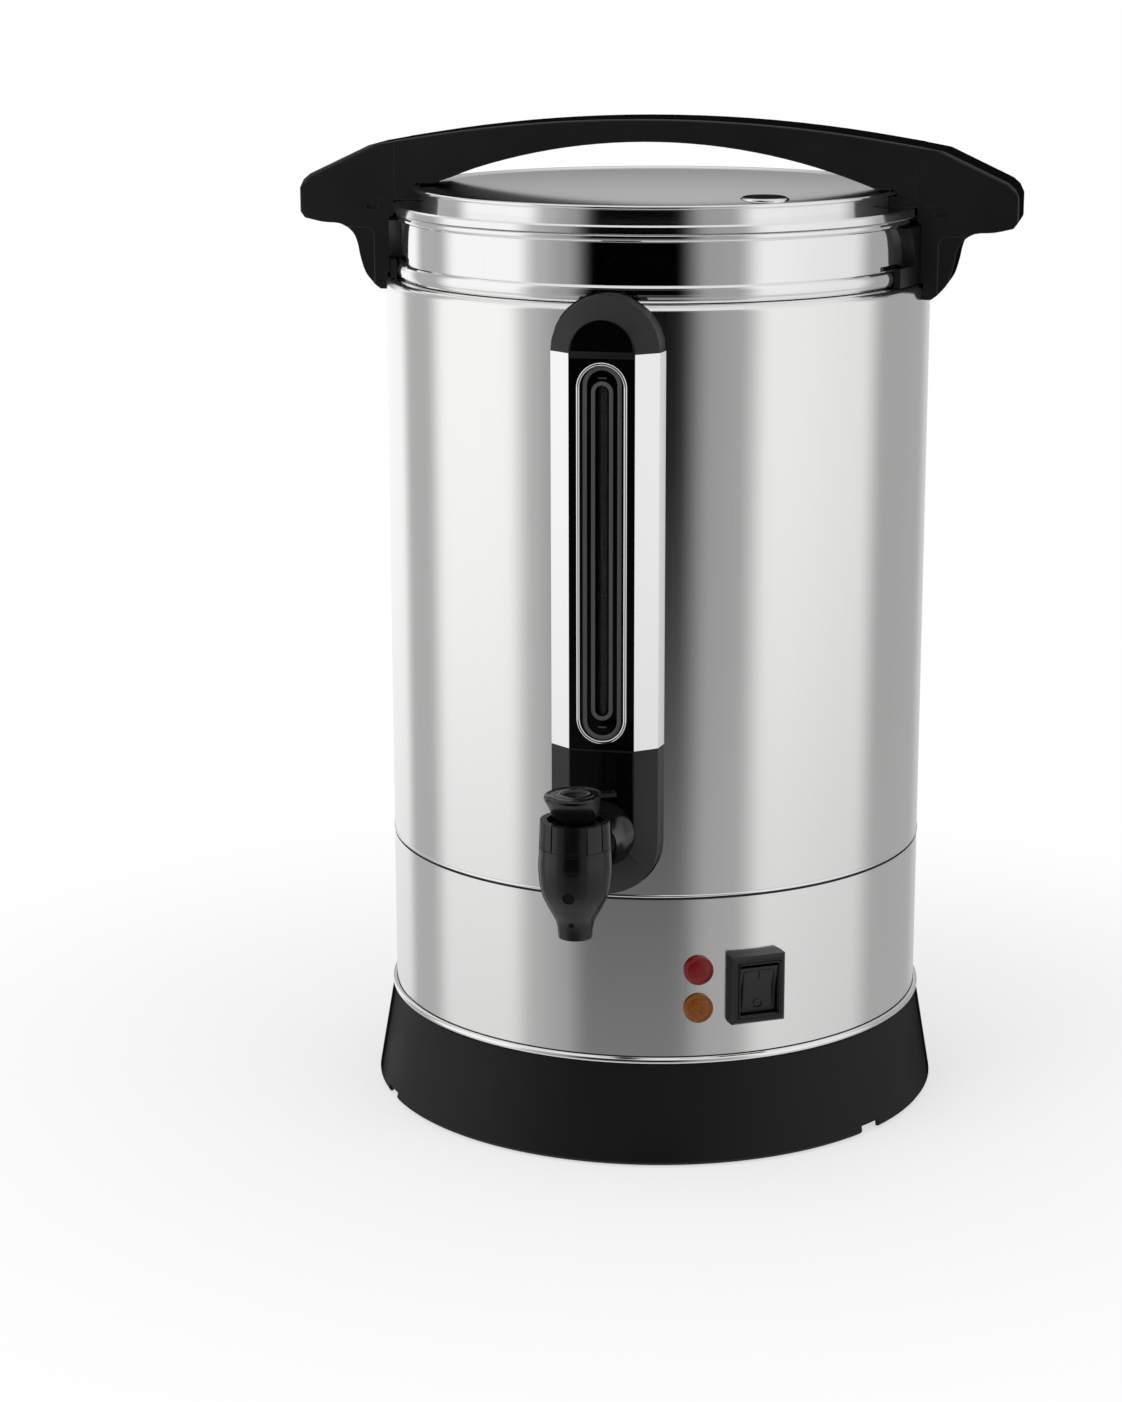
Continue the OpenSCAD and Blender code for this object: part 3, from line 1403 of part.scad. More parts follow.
// Rolled rim round the steam vent
module vent_rim() {
    bore = vent_bore_d / 2;
    translate([vent_x, vent_y, crown_z(vent_reach)]) rotate_extrude() polygon([[bore, -lid_wall], [bore, 0.5],
        [bore + 0.8, 1.1], [bore + 2, 1.1], [bore + 4.2, 0.5], [bore + 4.9, 0.05],
        [bore + 4.9, -0.8 * lid_wall],
        [bore + 0.6, -lid_wall]]);
}

module lid_gasket() {
    color(silicone)
        ring(tank_in_r - 0.5 + snug, flange_r - lid_wall - snug, lid_z, flange_top - lid_wall - snug);
}

lid_screw_y = bar_w / 2 - 6;
lid_screw_x = sqrt(pow(lid_skirt_r + 3.4, 2) - lid_screw_y * lid_screw_y);

// Radius of an arc with a given half width and height
function arc_radius(half, height) = (half * half + height * height) / (2 * height);

// Arched carrying bar, its legs standing on the lid's flange outside the skirt
module lid_bar() {
    under_z = lip_top + bar_lip_gap;
    under_top = lip_top + bar_rise - bar_t;
    top_r = arc_radius(bar_end_r, bar_rise - bar_end_rise);
    under_r = arc_radius(arch_reach, under_top - under_z);
    half = bar_w / 2;
    color(black) difference() {
        intersection() {
            translate([0, 0, flange_top + snug]) cylinder(r = bar_end_r, h = 60, $fn = 180);
            y_rod(top_r, -half, half, 0, lip_top + bar_rise - top_r, $fn = 720);
        }
        intersection() {
            y_rod(under_r, -half - 1, half + 1, 0, under_top - under_r, $fn = 360);
            translate([-arch_reach - 1, -half - 2, under_z]) cube([2 * arch_reach + 2, bar_w + 4, 60]);
        }
        translate([-bar_end_r, -half - 2, flange_top - 1])
            intersection() {
                cube([2 * bar_end_r, bar_w + 4, under_z - flange_top + 1 + eps]);
                translate([bar_end_r, half + 2, 0]) cylinder(r = lid_skirt_r + snug, h = 60);
            }
        translate([0, 0, lip_top - lip_h - 0.9]) cylinder(r = lip_r + snug, h = lip_h + 0.9 + snug);
        for (s = [-1, 1], t = [-1, 1]) translate([s * lid_screw_x, t * lid_screw_y, flange_top - 1])
            cylinder(r = screw_r - 0.1, h = lid_skirt_h - 1, $fn = 32);
    }
}

// Screws from under the flange into the bar's legs
module lid_screws() {
    head_z = flange_top - lid_wall - snug;
    color(bright) for (s = [-1, 1], t = [-1, 1]) translate([s * lid_screw_x, t * lid_screw_y, 0]) {
        translate([0, 0, head_z - 1.4]) cylinder(r = 2.6, h = 1.4, $fn = 32);
        translate([0, 0, head_z - 1]) cylinder(r = screw_r - 0.15, h = lid_skirt_h - 1.5, $fn = 32);
    }
}

// ---------------------------------------------------------------- percolator

// Pump tube with its bell foot and the collar that carries the basket
module pump_stem() {
    bell_r = well_d / 2 - 2;
    bell_h = 14;
    top_z = tank_in_z + pump_h;
    color(bright) difference() {
        union() {
            translate([0, 0, pump_foot_z]) rotate_extrude() polygon([[0, 0], [bell_r, 0],
                [bell_r - 1, bell_h * 0.55], [pump_r + 3, bell_h], [pump_r, bell_h + 4], [0, bell_h + 4]]);
            translate([0, 0, pump_foot_z]) cylinder(r = pump_r, h = top_z - pump_foot_z);
            translate([0, 0, basket_z - 3.2]) cylinder(r = pump_r + 4, h = 3);
        }
        translate([0, 0, pump_foot_z - 1]) cylinder(r1 = bell_r - 1, r2 = pump_r - 1, h = bell_h);
        translate([0, 0, pump_foot_z - 1]) cylinder(r = pump_r - 1, h = top_z);
        for (a = [0 : 60 : 300]) rotate([0, 0, a]) translate([0, 0, pump_foot_z + 3])
            rotate([0, 90, 0]) cylinder(r = 1.6, h = bell_r + 2, $fn = 16);
    }
}

// Rings of round perforations between two radii
module perforations(r0, r1, step, hole_r, z0, h) {
    for (r = [r0 : step : r1]) {
        count = floor(2 * 3.14159 * r / step);
        for (i = [0 : count - 1]) rotate([0, 0, 360 * i / count]) translate([r, 0, z0])
            cylinder(r = hole_r, h = h, $fn = 16);
    }
}

module coffee_basket() {
    wall = 0.8;
    sleeve_r = pump_r + slip;
    color(bright) difference() {
        union() {
            ring(basket_r - wall, basket_r, basket_z, basket_z + basket_h);
            ring(sleeve_r, basket_r - eps, basket_z, basket_z + 1);
            ring(sleeve_r, sleeve_r + 1, basket_z, basket_z + basket_h * 0.6);
            ring(basket_r - wall, basket_r + 3, basket_z + basket_h - 1, basket_z + basket_h);
        }
        perforations(24, basket_r - 8, 14, 1.6, basket_z - 1, 3);
    }
}

module basket_spreader() {
    color(bright) difference() {
        union() {
            ring(pump_r + slip, basket_r + 2, spreader_z, spreader_z + 1);
            ring(basket_r - 2.4, basket_r - 1.4, spreader_z - 5, spreader_z + eps);
            ring(pump_r + slip, pump_r + slip + 1, spreader_z, spreader_z + 6);
        }
        perforations(22, basket_r - 10, 14, 1.8, spreader_z - 1, 3);
    }
}

// ---------------------------------------------------------------- nodes

base_skirt();
base_plate();
foot_ring();
base_screws();
housing();
seam_band();
outer_shell();
tank();
heater();
heater_clamp();
warming_element();
thermostats();
thermal_fuse();
terminal_block();
wires();
power_inlet();
inlet_pins();
inlet_screws();
switch_frame();
switch_body();
switch_rocker();
lamp_red();
lamp_amber();
lamp_nuts();
gauge_cap();
cap_plate();
gauge_chassis();
gauge_trim_left();
gauge_trim_right();
gauge_panel();
gauge_backing();
gauge_bezel();
gauge_frames();
sight_tube();
tube_gaskets();
tap_housing();
tap_plate();
column_screws();
tap_shank();
tap_nut();
tap_washers();
tap_body();
tap_bonnet();
tap_spring();
tap_stem();
seat_cup();
tap_lever();
lever_pins();
grip_left();
grip_right();
saddle_left();
saddle_right();
grip_screws();
lid_cover();
lid_gasket();
lid_bar();
lid_screws();
pump_stem();
coffee_basket();
basket_spreader();
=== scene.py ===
"""Looks of a steel coffee urn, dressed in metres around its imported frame."""

import json
import math

import bmesh
import bpy
from mathutils import Matrix, Vector


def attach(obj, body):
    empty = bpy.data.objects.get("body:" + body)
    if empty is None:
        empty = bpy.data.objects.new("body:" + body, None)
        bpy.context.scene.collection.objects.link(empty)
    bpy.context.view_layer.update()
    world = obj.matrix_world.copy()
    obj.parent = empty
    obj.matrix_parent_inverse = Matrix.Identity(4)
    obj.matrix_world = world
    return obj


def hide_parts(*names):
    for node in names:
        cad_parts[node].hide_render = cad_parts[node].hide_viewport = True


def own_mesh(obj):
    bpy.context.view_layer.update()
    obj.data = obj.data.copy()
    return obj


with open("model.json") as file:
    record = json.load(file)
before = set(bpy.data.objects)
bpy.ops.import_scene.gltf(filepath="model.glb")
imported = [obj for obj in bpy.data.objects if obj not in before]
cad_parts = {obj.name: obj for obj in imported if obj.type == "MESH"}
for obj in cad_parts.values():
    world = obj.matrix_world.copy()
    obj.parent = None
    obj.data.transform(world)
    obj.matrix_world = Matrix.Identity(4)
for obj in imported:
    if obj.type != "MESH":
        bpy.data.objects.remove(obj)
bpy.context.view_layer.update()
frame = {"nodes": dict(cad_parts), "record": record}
scene = bpy.context.scene
nodes = frame["nodes"]
slot_of = {row["node"]: row["material_slot"] for row in frame["record"]["subparts"]}
bodies = frame["record"]["behaviour"]["bodies"]
body_of = {node: body for body, names in bodies.items() for node in names}
MM = 0.001


# ---------------------------------------------------------------- camera

PICTURE_H = 1402                           # pixels along the picture's longer side
LENS_PIXELS = 3150                         # focal length in picture pixels
SENSOR = 36.0                              # millimetres along the picture's longer side
STAND_ROUND = math.radians(9.8)            # the camera stands this far round towards +X
STAND_DISTANCE = 1.5741                    # metres from the urn's axis
STAND_HEIGHT = 0.5894
LOOK_DOWN = 0.244                          # radians, as are the next two
LOOK_LEFT = 0.031
LEAN = 0.0026


def make_camera():
    """The camera at the picture's viewing angle."""
    ahead_level = Vector((-math.sin(LOOK_LEFT), math.cos(LOOK_LEFT), 0))
    level = Vector((math.cos(LOOK_LEFT), math.sin(LOOK_LEFT), 0))
    up = Vector((0, 0, 1))
    ahead = math.cos(LOOK_DOWN) * ahead_level - math.sin(LOOK_DOWN) * up
    above = math.sin(LOOK_DOWN) * ahead_level + math.cos(LOOK_DOWN) * up
    right = math.cos(LEAN) * level - math.sin(LEAN) * above
    top = math.sin(LEAN) * level + math.cos(LEAN) * above
    turn = Matrix.Rotation(STAND_ROUND, 3, "Z")
    axes = [turn @ right, turn @ top, turn @ -ahead]
    place = turn @ Vector((0, -STAND_DISTANCE, STAND_HEIGHT))
    data = bpy.data.cameras.new("camera")
    data.sensor_width = SENSOR
    data.lens = LENS_PIXELS * SENSOR / PICTURE_H
    data.clip_start = 0.01
    camera = bpy.data.objects.new("camera", data)
    camera.matrix_world = Matrix.Translation(place) @ Matrix(axes).transposed().to_4x4()
    scene.collection.objects.link(camera)
    scene.camera = camera


# ---------------------------------------------------------------- node trees

class Graph:
    """Short calls that build one node tree."""

    def __init__(self, tree):
        self.tree = tree

    def add(self, kind, values=(), **settings):
        """A node with its settings, and its input sockets filled in order from values."""
        node = self.tree.nodes.new("ShaderNode" + kind)
        for key, value in settings.items():
            setattr(node, key, value)
        for socket, value in zip(node.inputs, values):
            self.fill(socket, value)
        return node

    def fill(self, socket, value):
        """Links a socket to an output, or sets it to a constant. None leaves it as it is."""
        if isinstance(value, bpy.types.NodeSocket):
            self.tree.links.new(value, socket)
        elif value is not None:
            socket.default_value = value

    def math(self, operation, a, b=None, c=None):
        return self.add("Math", (a, b, c), operation=operation).outputs[0]

    def spread(self, value, low, high, out_low, out_high, kind="SMOOTHSTEP"):
        """value from low..high mapped to out_low..out_high."""
        node = self.add("MapRange", (value, low, high, out_low, out_high), interpolation_type=kind)
        return node.outputs[0]

    def mix(self, share, first, second):
        """Colour between first and second."""
        node = self.add("Mix", data_type="RGBA")
        self.fill(node.inputs[0], share)
        self.fill(node.inputs[6], first)
        self.fill(node.inputs[7], second)
        return node.outputs[2]

    def place(self, stretch=(1, 1, 1)):
        """The surface's own place in metres, stretched along each axis."""
        where = self.add("TexCoord").outputs["Object"]
        if stretch == (1, 1, 1):
            return where
        mapping = self.add("Mapping", (where,))
        mapping.inputs["Scale"].default_value = stretch
        return mapping.outputs[0]

    def noise(self, per_metre, detail=3, stretch=(1, 1, 1)):
        """Noise from 0 to 1 with that many bumps to the metre."""
        node = self.add("TexNoise", (self.place(stretch),))
        node.inputs["Scale"].default_value = per_metre
        node.inputs["Detail"].default_value = detail
        return node.outputs["Fac"]

    def bump(self, height, depth):
        """A bump whose full height is depth, in metres."""
        node = self.add("Bump")
        node.inputs["Strength"].default_value = 1.0
        node.inputs["Distance"].default_value = depth
        self.fill(node.inputs["Height"], height)
        return node.outputs[0]


def grey(level):
    return (level, level, level, 1.0)


def scaled(colour, share):
    return tuple(min(1.0, c * share) for c in colour[:3]) + (1.0,)


def new_material(name):
    """A material, its node helper and its principled shader."""
    material = bpy.data.materials.new(name)
    material.use_nodes = True
    shader = material.node_tree.nodes["Principled BSDF"]
    return material, Graph(material.node_tree), shader


# ---------------------------------------------------------------- studio

PLAIN_LIGHT = 0.62                 # level of the even light from all round
# The studio's walls round the urn, which only the shiny surfaces mirror: the angle round from the
# camera's side, + to the right, and the level there.
WALLS = [
    (-180, 1.00), (-140, 1.00), (-128, 0.44), (-114, 0.43), (-100, 1.00), (-66, 1.00), (-53, 0.45),
    (-41, 0.33), (-28, 0.0), (8, 0.0), (23, 0.34), (34, 0.36), (48, 0.90), (94, 0.82),
    (110, 0.38), (145, 0.40), (165, 0.66), (180, 1.00),
]
LOW_LEVEL, LOW_SHARE = 0.42, 0.6   # the walls fade by that share towards that level near the floor
# The screen behind the urn, which the lid shows: dim at the horizon, and bright below and above it
BACK_DIM, BACK_BRIGHT = 0.25, 0.50
OVERHEAD_LEVEL, UNDERFOOT_LEVEL = 0.80, 0.70
# Rises and turns in degrees, where one part of the studio gives way to the next
LOW_FADE = (-26.0, -8.0)
BACK_FADE = (138.0, 156.0)
BACK_FOOT = (-4.0, -3.0)
BACK_BELOW = (-1.0, 0.0)
BACK_ABOVE = (0.0, 10.0)
OVERHEAD_FADE = (28.0, 50.0)
UNDERFOOT_FADE = (-60.0, -30.0)
GLASS_LEVEL = 0.9                  # what clear plastic shows behind it
LAMP_AIM = (0, 0, 0.22)            # metres, the urn's middle
FLOOR_R = 4.0                      # metres
FLOOR_FADE = (0.12, 0.55)          # metres from the axis, where the shaded floor turns plain white
FLOOR_SHARE = 0.58                 # how white it is inside that


def make_world():
    """Plain even light, a white background, and a studio of soft walls for reflections."""
    world = bpy.data.worlds.new("studio")
    world.use_nodes = True
    scene.world = world
    g = Graph(world.node_tree)
    background = world.node_tree.nodes["Background"]
    ray = g.add("LightPath").outputs
    way = g.add("SeparateXYZ", (g.add("TexCoord").outputs["Generated"],)).outputs
    side, front = math.sin(STAND_ROUND), math.cos(STAND_ROUND)
    across = g.math("MULTIPLY_ADD", way[0], front, g.math("MULTIPLY", way[1], side))
    toward = g.math("MULTIPLY_ADD", way[0], side, g.math("MULTIPLY", way[1], -front))
    angle = g.math("DEGREES", g.math("ARCTAN2", across, toward))
    rise = g.math("DEGREES", g.math("ARCSINE", way[2]))

    ramp = g.add("ValToRGB", (g.spread(angle, -180.0, 180.0, 0.0, 1.0, "LINEAR"),))
    stops = ramp.color_ramp
    stops.interpolation = "EASE"
    while len(stops.elements) < len(WALLS):
        stops.elements.new(1.0)
    for stop, (turn, level) in zip(stops.elements, WALLS):
        stop.position = (turn + 180) / 360
        stop.color = grey(level)
    studio = g.mix(g.spread(rise, *LOW_FADE, LOW_SHARE, 0.0), ramp.outputs[0], grey(LOW_LEVEL))
    behind = g.spread(g.math("ABSOLUTE", angle), *BACK_FADE, 0.0, 1.0)
    raised = g.spread(rise, *BACK_FOOT, 0.0, 1.0)
    below = g.spread(rise, *BACK_BELOW, BACK_BRIGHT, BACK_DIM)
    above = g.spread(rise, *BACK_ABOVE, BACK_DIM, BACK_BRIGHT, "LINEAR")
    screen = g.math("MAXIMUM", below, above)
    studio = g.mix(g.math("MULTIPLY", behind, raised), studio, screen)
    studio = g.mix(g.spread(rise, *OVERHEAD_FADE, 0.0, 1.0), studio, grey(OVERHEAD_LEVEL))
    studio = g.mix(g.spread(rise, *UNDERFOOT_FADE, 1.0, 0.0), studio, grey(UNDERFOOT_LEVEL))
    light = g.mix(ray["Is Glossy Ray"], grey(PLAIN_LIGHT), studio)
    light = g.mix(ray["Is Transmission Ray"], light, grey(GLASS_LEVEL))
    light = g.mix(ray["Is Camera Ray"], light, grey(1.0))
    g.fill(background.inputs["Color"], light)
    background.inputs["Strength"].default_value = 1.0


def make_lamp(name, place, size, level):
    """A square soft lamp aimed at the urn's middle. level is the light that it adds there."""
    target = Vector(LAMP_AIM)
    place = Vector(place)
    data = bpy.data.lights.new(name, "AREA")
    data.shape = "SQUARE"
    data.size = size
    data.energy = level * math.pi ** 2 * (place - target).length_squared
    lamp = bpy.data.objects.new(name, data)
    lamp.location = place
    lamp.rotation_euler = (target - place).to_track_quat("-Z", "Y").to_euler()
    lamp.visible_glossy = False
    scene.collection.objects.link(lamp)


def make_floor():
    """A pale round floor that fades into the white background and keeps the urn's shadow."""
    bm = bmesh.new()
    bmesh.ops.create_circle(bm, cap_ends=True, segments=96, radius=FLOOR_R)
    mesh = bpy.data.meshes.new("floor")
    bm.to_mesh(mesh)
    bm.free()
    floor = bpy.data.objects.new("floor", mesh)
    scene.collection.objects.link(floor)
    material, g, shader = new_material("floor")
    shader.inputs["Base Color"].default_value = grey(0.93)
    shader.inputs["Roughness"].default_value = 0.9
    shader.inputs["Specular IOR Level"].default_value = 0.0
    out = material.node_tree.nodes["Material Output"]
    ray = g.add("LightPath").outputs
    glow = g.add("Emission", (grey(1.0), 1.0)).outputs[0]
    away = g.add("VectorMath", (g.place(),), operation="LENGTH").outputs["Value"]
    fade = g.spread(away, *FLOOR_FADE, FLOOR_SHARE, 1.0)
    shown = g.add("MixShader", (g.math("MULTIPLY", fade, ray["Is Camera Ray"]), shader.outputs[0], glow))
    clear = g.add("BsdfTransparent").outputs[0]
    seen = g.add("MixShader", (ray["Is Glossy Ray"], shown.outputs[0], clear))
    g.fill(out.inputs["Surface"], seen.outputs[0])
    mesh.materials.append(material)


# ---------------------------------------------------------------- materials

def steel(name, colour, rough, streak=0.0):
    """Stainless sheet with fine upright polishing streaks."""
    material, g, shader = new_material(name)
    lines = g.noise(900, 4, (1, 1, 0.012))
    cloud = g.noise(7, 3)
    tone = g.math("MULTIPLY_ADD", lines, 0.5, g.math("MULTIPLY", cloud, 0.5))
    g.fill(shader.inputs["Base Color"], g.mix(tone, scaled(colour, 0.955), scaled(colour, 1.03)))
    g.fill(shader.inputs["Roughness"], g.spread(tone, 0.3, 0.7, rough * 0.85, rough * 1.15, "LINEAR"))
    shader.inputs["Metallic"].default_value = 1.0
    if streak:
        g.fill(shader.inputs["Normal"], g.bump(lines, streak))
    return material


def plastic(name, colour, rough, grain, gloss=0.5):
    """Moulded plastic: a fine moulded grain and slightly uneven tone. Its sheen dies away at a low
    angle, as the grain hides it."""
    material, g, shader = new_material(name)
    cloud = g.noise(22, 4)
    speck = g.noise(1500, 2)
    low = g.add("LayerWeight", (0.5,)).outputs["Facing"]
    g.fill(shader.inputs["Base Color"], g.mix(cloud, scaled(colour, 0.8), scaled(colour, 1.25)))
    g.fill(shader.inputs["Roughness"], g.spread(cloud, 0.3, 0.7, rough * 0.9, rough * 1.12, "LINEAR"))
    g.fill(shader.inputs["Specular IOR Level"], g.spread(low, 0.45, 0.88, gloss, 0.0))
    g.fill(shader.inputs["Normal"], g.bump(speck, grain))
    return material


def lens(name, colour, glow):
    """A translucent coloured lamp lens with small prisms moulded inside."""
    material, g, shader = new_material(name)
    cells = g.add("TexVoronoi", (g.place(),), feature="F1")
    cells.inputs["Scale"].default_value = 700
    depth = cells.outputs["Distance"]
    g.fill(shader.inputs["Base Color"], g.mix(depth, scaled(colour, 1.2), scaled(colour, 0.8)))
    shader.inputs["Roughness"].default_value = 0.22
    shader.inputs["Specular IOR Level"].default_value = 0.3
    shader.inputs["Coat Weight"].default_value = 0.15
    shader.inputs["Coat Roughness"].default_value = 0.04
    shader.inputs["Subsurface Weight"].default_value = glow
    shader.inputs["Subsurface Scale"].default_value = 0.002
    g.fill(shader.inputs["Normal"], g.bump(depth, 0.00003))
    return material


def smoky(name):
    """Smoky drawn tube with faint drawing lines."""
    material, g, shader = new_material(name)
    lines = g.noise(600, 2, (1, 1, 0.02))
    g.fill(shader.inputs["Base Color"], g.mix(lines, (0.16, 0.17, 0.18, 1), (0.22, 0.24, 0.25, 1)))
    g.fill(shader.inputs["Roughness"], g.spread(lines, 0.3, 0.7, 0.01, 0.05, "LINEAR"))
    shader.inputs["Transmission Weight"].default_value = 0.95
    shader.inputs["IOR"].default_value = 1.45
    return material


MATERIALS = {
    "black_plastic": plastic("black_plastic", (0.0055, 0.0055, 0.0057), 0.50, 0.00003, 0.22),
    "column_black": plastic("column_black", (0.0060, 0.0060, 0.0061), 0.36, 0.00001, 0.40),
    "gloss_black": plastic("gloss_black", (0.0012, 0.0012, 0.0012), 0.07, 0.0, 0.35),
    "grip_black": plastic("grip_black", (0.0046, 0.0046, 0.0047), 0.40, 0.00002, 0.55),
    "tap_black": plastic("tap_black", (0.0024, 0.0024, 0.0025), 0.16, 0.000005, 0.45),
    "switch_black": plastic("switch_black", (0.0060, 0.0060, 0.0062), 0.30, 0.00001, 0.40),
    "rocker_black": plastic("rocker_black", (0.0090, 0.0090, 0.0094), 0.28, 0.00001, 0.45),
    "body_steel": steel("body_steel", (0.925, 0.922, 0.915), 0.14, 0.0000006),
    "lid_steel": steel("lid_steel", (0.91, 0.91, 0.905), 0.10, 0.0000003),
    "bright_steel": steel("bright_steel", (0.92, 0.92, 0.915), 0.06),
    "chrome_trim": steel("chrome_trim", (0.93, 0.93, 0.925), 0.10),
    "zinc_steel": steel("zinc_steel", (0.55, 0.56, 0.57), 0.32),
    "screw_steel": steel("screw_steel", (0.62, 0.62, 0.63), 0.25),
    "spring_steel": steel("spring_steel", (0.58, 0.58, 0.59), 0.25),
    "pin_metal": steel("pin_metal", (0.72, 0.70, 0.66), 0.2),
    "cast_alloy": steel("cast_alloy", (0.55, 0.55, 0.56), 0.45, 0.00002),
    "heater_sheath": steel("heater_sheath", (0.42, 0.40, 0.38), 0.35),
    "white_ceramic": plastic("white_ceramic", (0.72, 0.70, 0.65), 0.5, 0.00002),
    "wire_red": plastic("wire_red", (0.42, 0.05, 0.04), 0.5, 0.00002),
    "lamp_red": lens("lamp_red", (0.17, 0.007, 0.010), 0.3),
    "lamp_amber": lens("lamp_amber", (0.20, 0.060, 0.006), 0.3),
    "gauge_grey": plastic("gauge_grey", (0.062, 0.062, 0.064), 0.40, 0.00001, 0.3),
    "clear_tube": smoky("clear_tube"),
    "rubber_black": plastic("rubber_black", (0.010, 0.010, 0.010), 0.7, 0.00003, 0.3),
    "seal_silicone": plastic("seal_silicone", (0.55, 0.53, 0.48), 0.55, 0.00002, 0.4),
}


# ---------------------------------------------------------------- pieces

WELD = 1e-6                        # metres, points nearer than this are one
FLAT = math.radians(0.3)           # faces that turn less than this are one
CREASE = math.radians(35)          # an edge that turns more than this stays sharp
HARD = math.radians(30)            # an edge of a CAD node that turns more than this is rounded
SHELL_R = 135.0                    # mm, outside of the shell
BAR_END_R = 130.3                  # mm, just inside the ends of the lid bar
LAMP_ANGLE = 18.8                  # degrees round from the tap
LAMP_HEIGHTS = {"lamp_red": 97.5, "lamp_amber": 78.3}       # mm
SWITCH_ANGLE, SWITCH_Z = 30.7, 87.5
ROCKER_PIVOT = 2.6                 # mm out of the wall
ROCKER_REST = 7                    # degrees, half of the rocker's throw
SMALL_ROUNDS = {"switch_frame": 0.5, "switch_rocker": 0.5, "tap_lever": 0.4, "tap_bonnet": 0.2}     # mm


def finish_piece(name, bm, body, slot):
    """Makes a mesh object of bm, smooth but for its creases, in its finish and on its body."""
    bmesh.ops.recalc_face_normals(bm, faces=bm.faces)
    mesh = bpy.data.meshes.new(name)
    bm.to_mesh(mesh)
    bm.free()
    mesh.shade_smooth()
    mesh.set_sharp_from_angle(angle=CREASE)
    piece = bpy.data.objects.new(name, mesh)
    scene.collection.objects.link(piece)
    mesh.materials.append(MATERIALS[slot])
    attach(piece, body)
    return piece


def lathe(name, outline, body, slot, place=None, steps=256):
    """A turned piece from the (radius, height) points of its section, in mm, all the way round."""
    bm = bmesh.new()
    rings = []
    for step in range(steps):
        turn = 2 * math.pi * step / steps
        rings.append([bm.verts.new((r * MM * math.cos(turn), r * MM * math.sin(turn), z * MM))
                      for r, z in outline])
    for ring, after in zip(rings, rings[1:] + rings[:1]):
        for k in range(len(outline)):
            m = (k + 1) % len(outline)
            if outline[k][0] or outline[m][0]:
                bm.faces.new((ring[k], after[k], after[m], ring[m]))
    bmesh.ops.remove_doubles(bm, verts=bm.verts, dist=WELD)
    if place is not None:
        bm.transform(place)
    return finish_piece(name, bm, body, slot)


def disc_section(r, z, radius, points=20):
    """The round section of a bead."""
    turns = [2 * math.pi * k / points for k in range(points)]
    return [(r + radius * math.cos(turn), z + radius * math.sin(turn)) for turn in turns]


def on_wall(angle, z):
    """Turns a piece's own upright axis to stand out of the shell's wall at that angle and height."""
    aside = Matrix.Rotation(math.radians(angle), 4, "Z")
    out = Matrix.Translation((0, -SHELL_R * MM, z * MM))
    return aside @ out @ Matrix.Rotation(math.radians(90), 4, "X")


def refined(node, width, share=None, weighed=True, clamped=True, longer=0.0):
    """A copy of a CAD node with its hard edges rounded by width, in mm. It stands for the node.

    share gives the part of that width for an edge, from the place of its middle in mm.
    weighed evens out the shading of the large faces beside the rounds.
    clamped keeps each round smaller than the smallest edge.
    longer moves the points at the ends of the bar that many mm further out."""
    bm = bmesh.new()
    bm.from_mesh(nodes[node].data)
    bmesh.ops.remove_doubles(bm, verts=bm.verts, dist=WELD)
    bmesh.ops.dissolve_limit(bm, angle_limit=FLAT, verts=bm.verts, edges=bm.edges)
    if share:
        bmesh.ops.triangulate(bm, faces=[face for face in bm.faces if len(face.verts) > 4])
    for vert in bm.verts:
        if longer and vert.co.xy.length > BAR_END_R * MM:
            vert.co.xy *= 1 + longer * MM / vert.co.xy.length
    weight = bm.edges.layers.float.new("bevel_weight_edge")
    for edge in bm.edges:
        if len(edge.link_faces) == 2 and edge.calc_face_angle() > HARD:
            middle = (edge.verts[0].co + edge.verts[1].co) / 2 / MM
            edge[weight] = share(middle) if share else 1.0
    mesh = bpy.data.meshes.new(node + "_shown")
    bm.to_mesh(mesh)
    bm.free()
    piece = bpy.data.objects.new(node + "_shown", mesh)
    scene.collection.objects.link(piece)
    mesh.materials.append(MATERIALS[slot_of[node]])
    mesh.shade_smooth()
    bevel = piece.modifiers.new("round_edges", "BEVEL")
    bevel.width = width * MM
    bevel.segments = 3
    bevel.limit_method = "WEIGHT"
    bevel.harden_normals = True
    bevel.use_clamp_overlap = clamped
    bevel.miter_outer = "MITER_ARC"
    if weighed:
        piece.modifiers.new("weigh_normals", "WEIGHTED_NORMAL").keep_sharp = True
    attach(piece, body_of[node])
    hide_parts(node)
    return piece


def bar_share(place):
    """The bar is rounded most along its upper edges, and hardly where it meets the grips."""
    at_grip = place.xy.length > 129
    upper = place.z > 488 - place.x ** 2 / 2000
    if at_grip:
        return 0.12
    return 1.0 if upper else 0.5


def grip_share(place):
    """A grip has a wide round along its sloping top, and sharp edges at the bar and the bracket."""
    out = abs(place.x)
    at_bar = place.xy.length < 134
    beside_bar = out < 145 and 444 < place.z < 476
    sloping_top = out > 142 and place.z > 463
    if at_bar or beside_bar:
        return 0.05
    if place.z < 444:
        return 0.14
    return 1.0 if sloping_top else 0.3


def make_lamps():
    """Each lamp has a rolled rim, a groove and a low dome, on a shaft through the wall."""
    section = [(0, 2.9), (1.8, 2.84), (3.4, 2.66), (4.6, 2.35), (5.2, 2.12), (5.5, 2.0), (5.75, 2.1),
               (6.0, 2.32), (6.3, 2.45), (6.6, 2.42), (6.95, 2.15), (7.15, 1.7), (7.2, 1.1),
               (7.2, -0.25), (5, -0.25), (5, -12), (0, -12)]
    for node, z in LAMP_HEIGHTS.items():
        lamp = lathe(node + "_shown", section, "urn", node, on_wall(LAMP_ANGLE, z), 64)
        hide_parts(node)


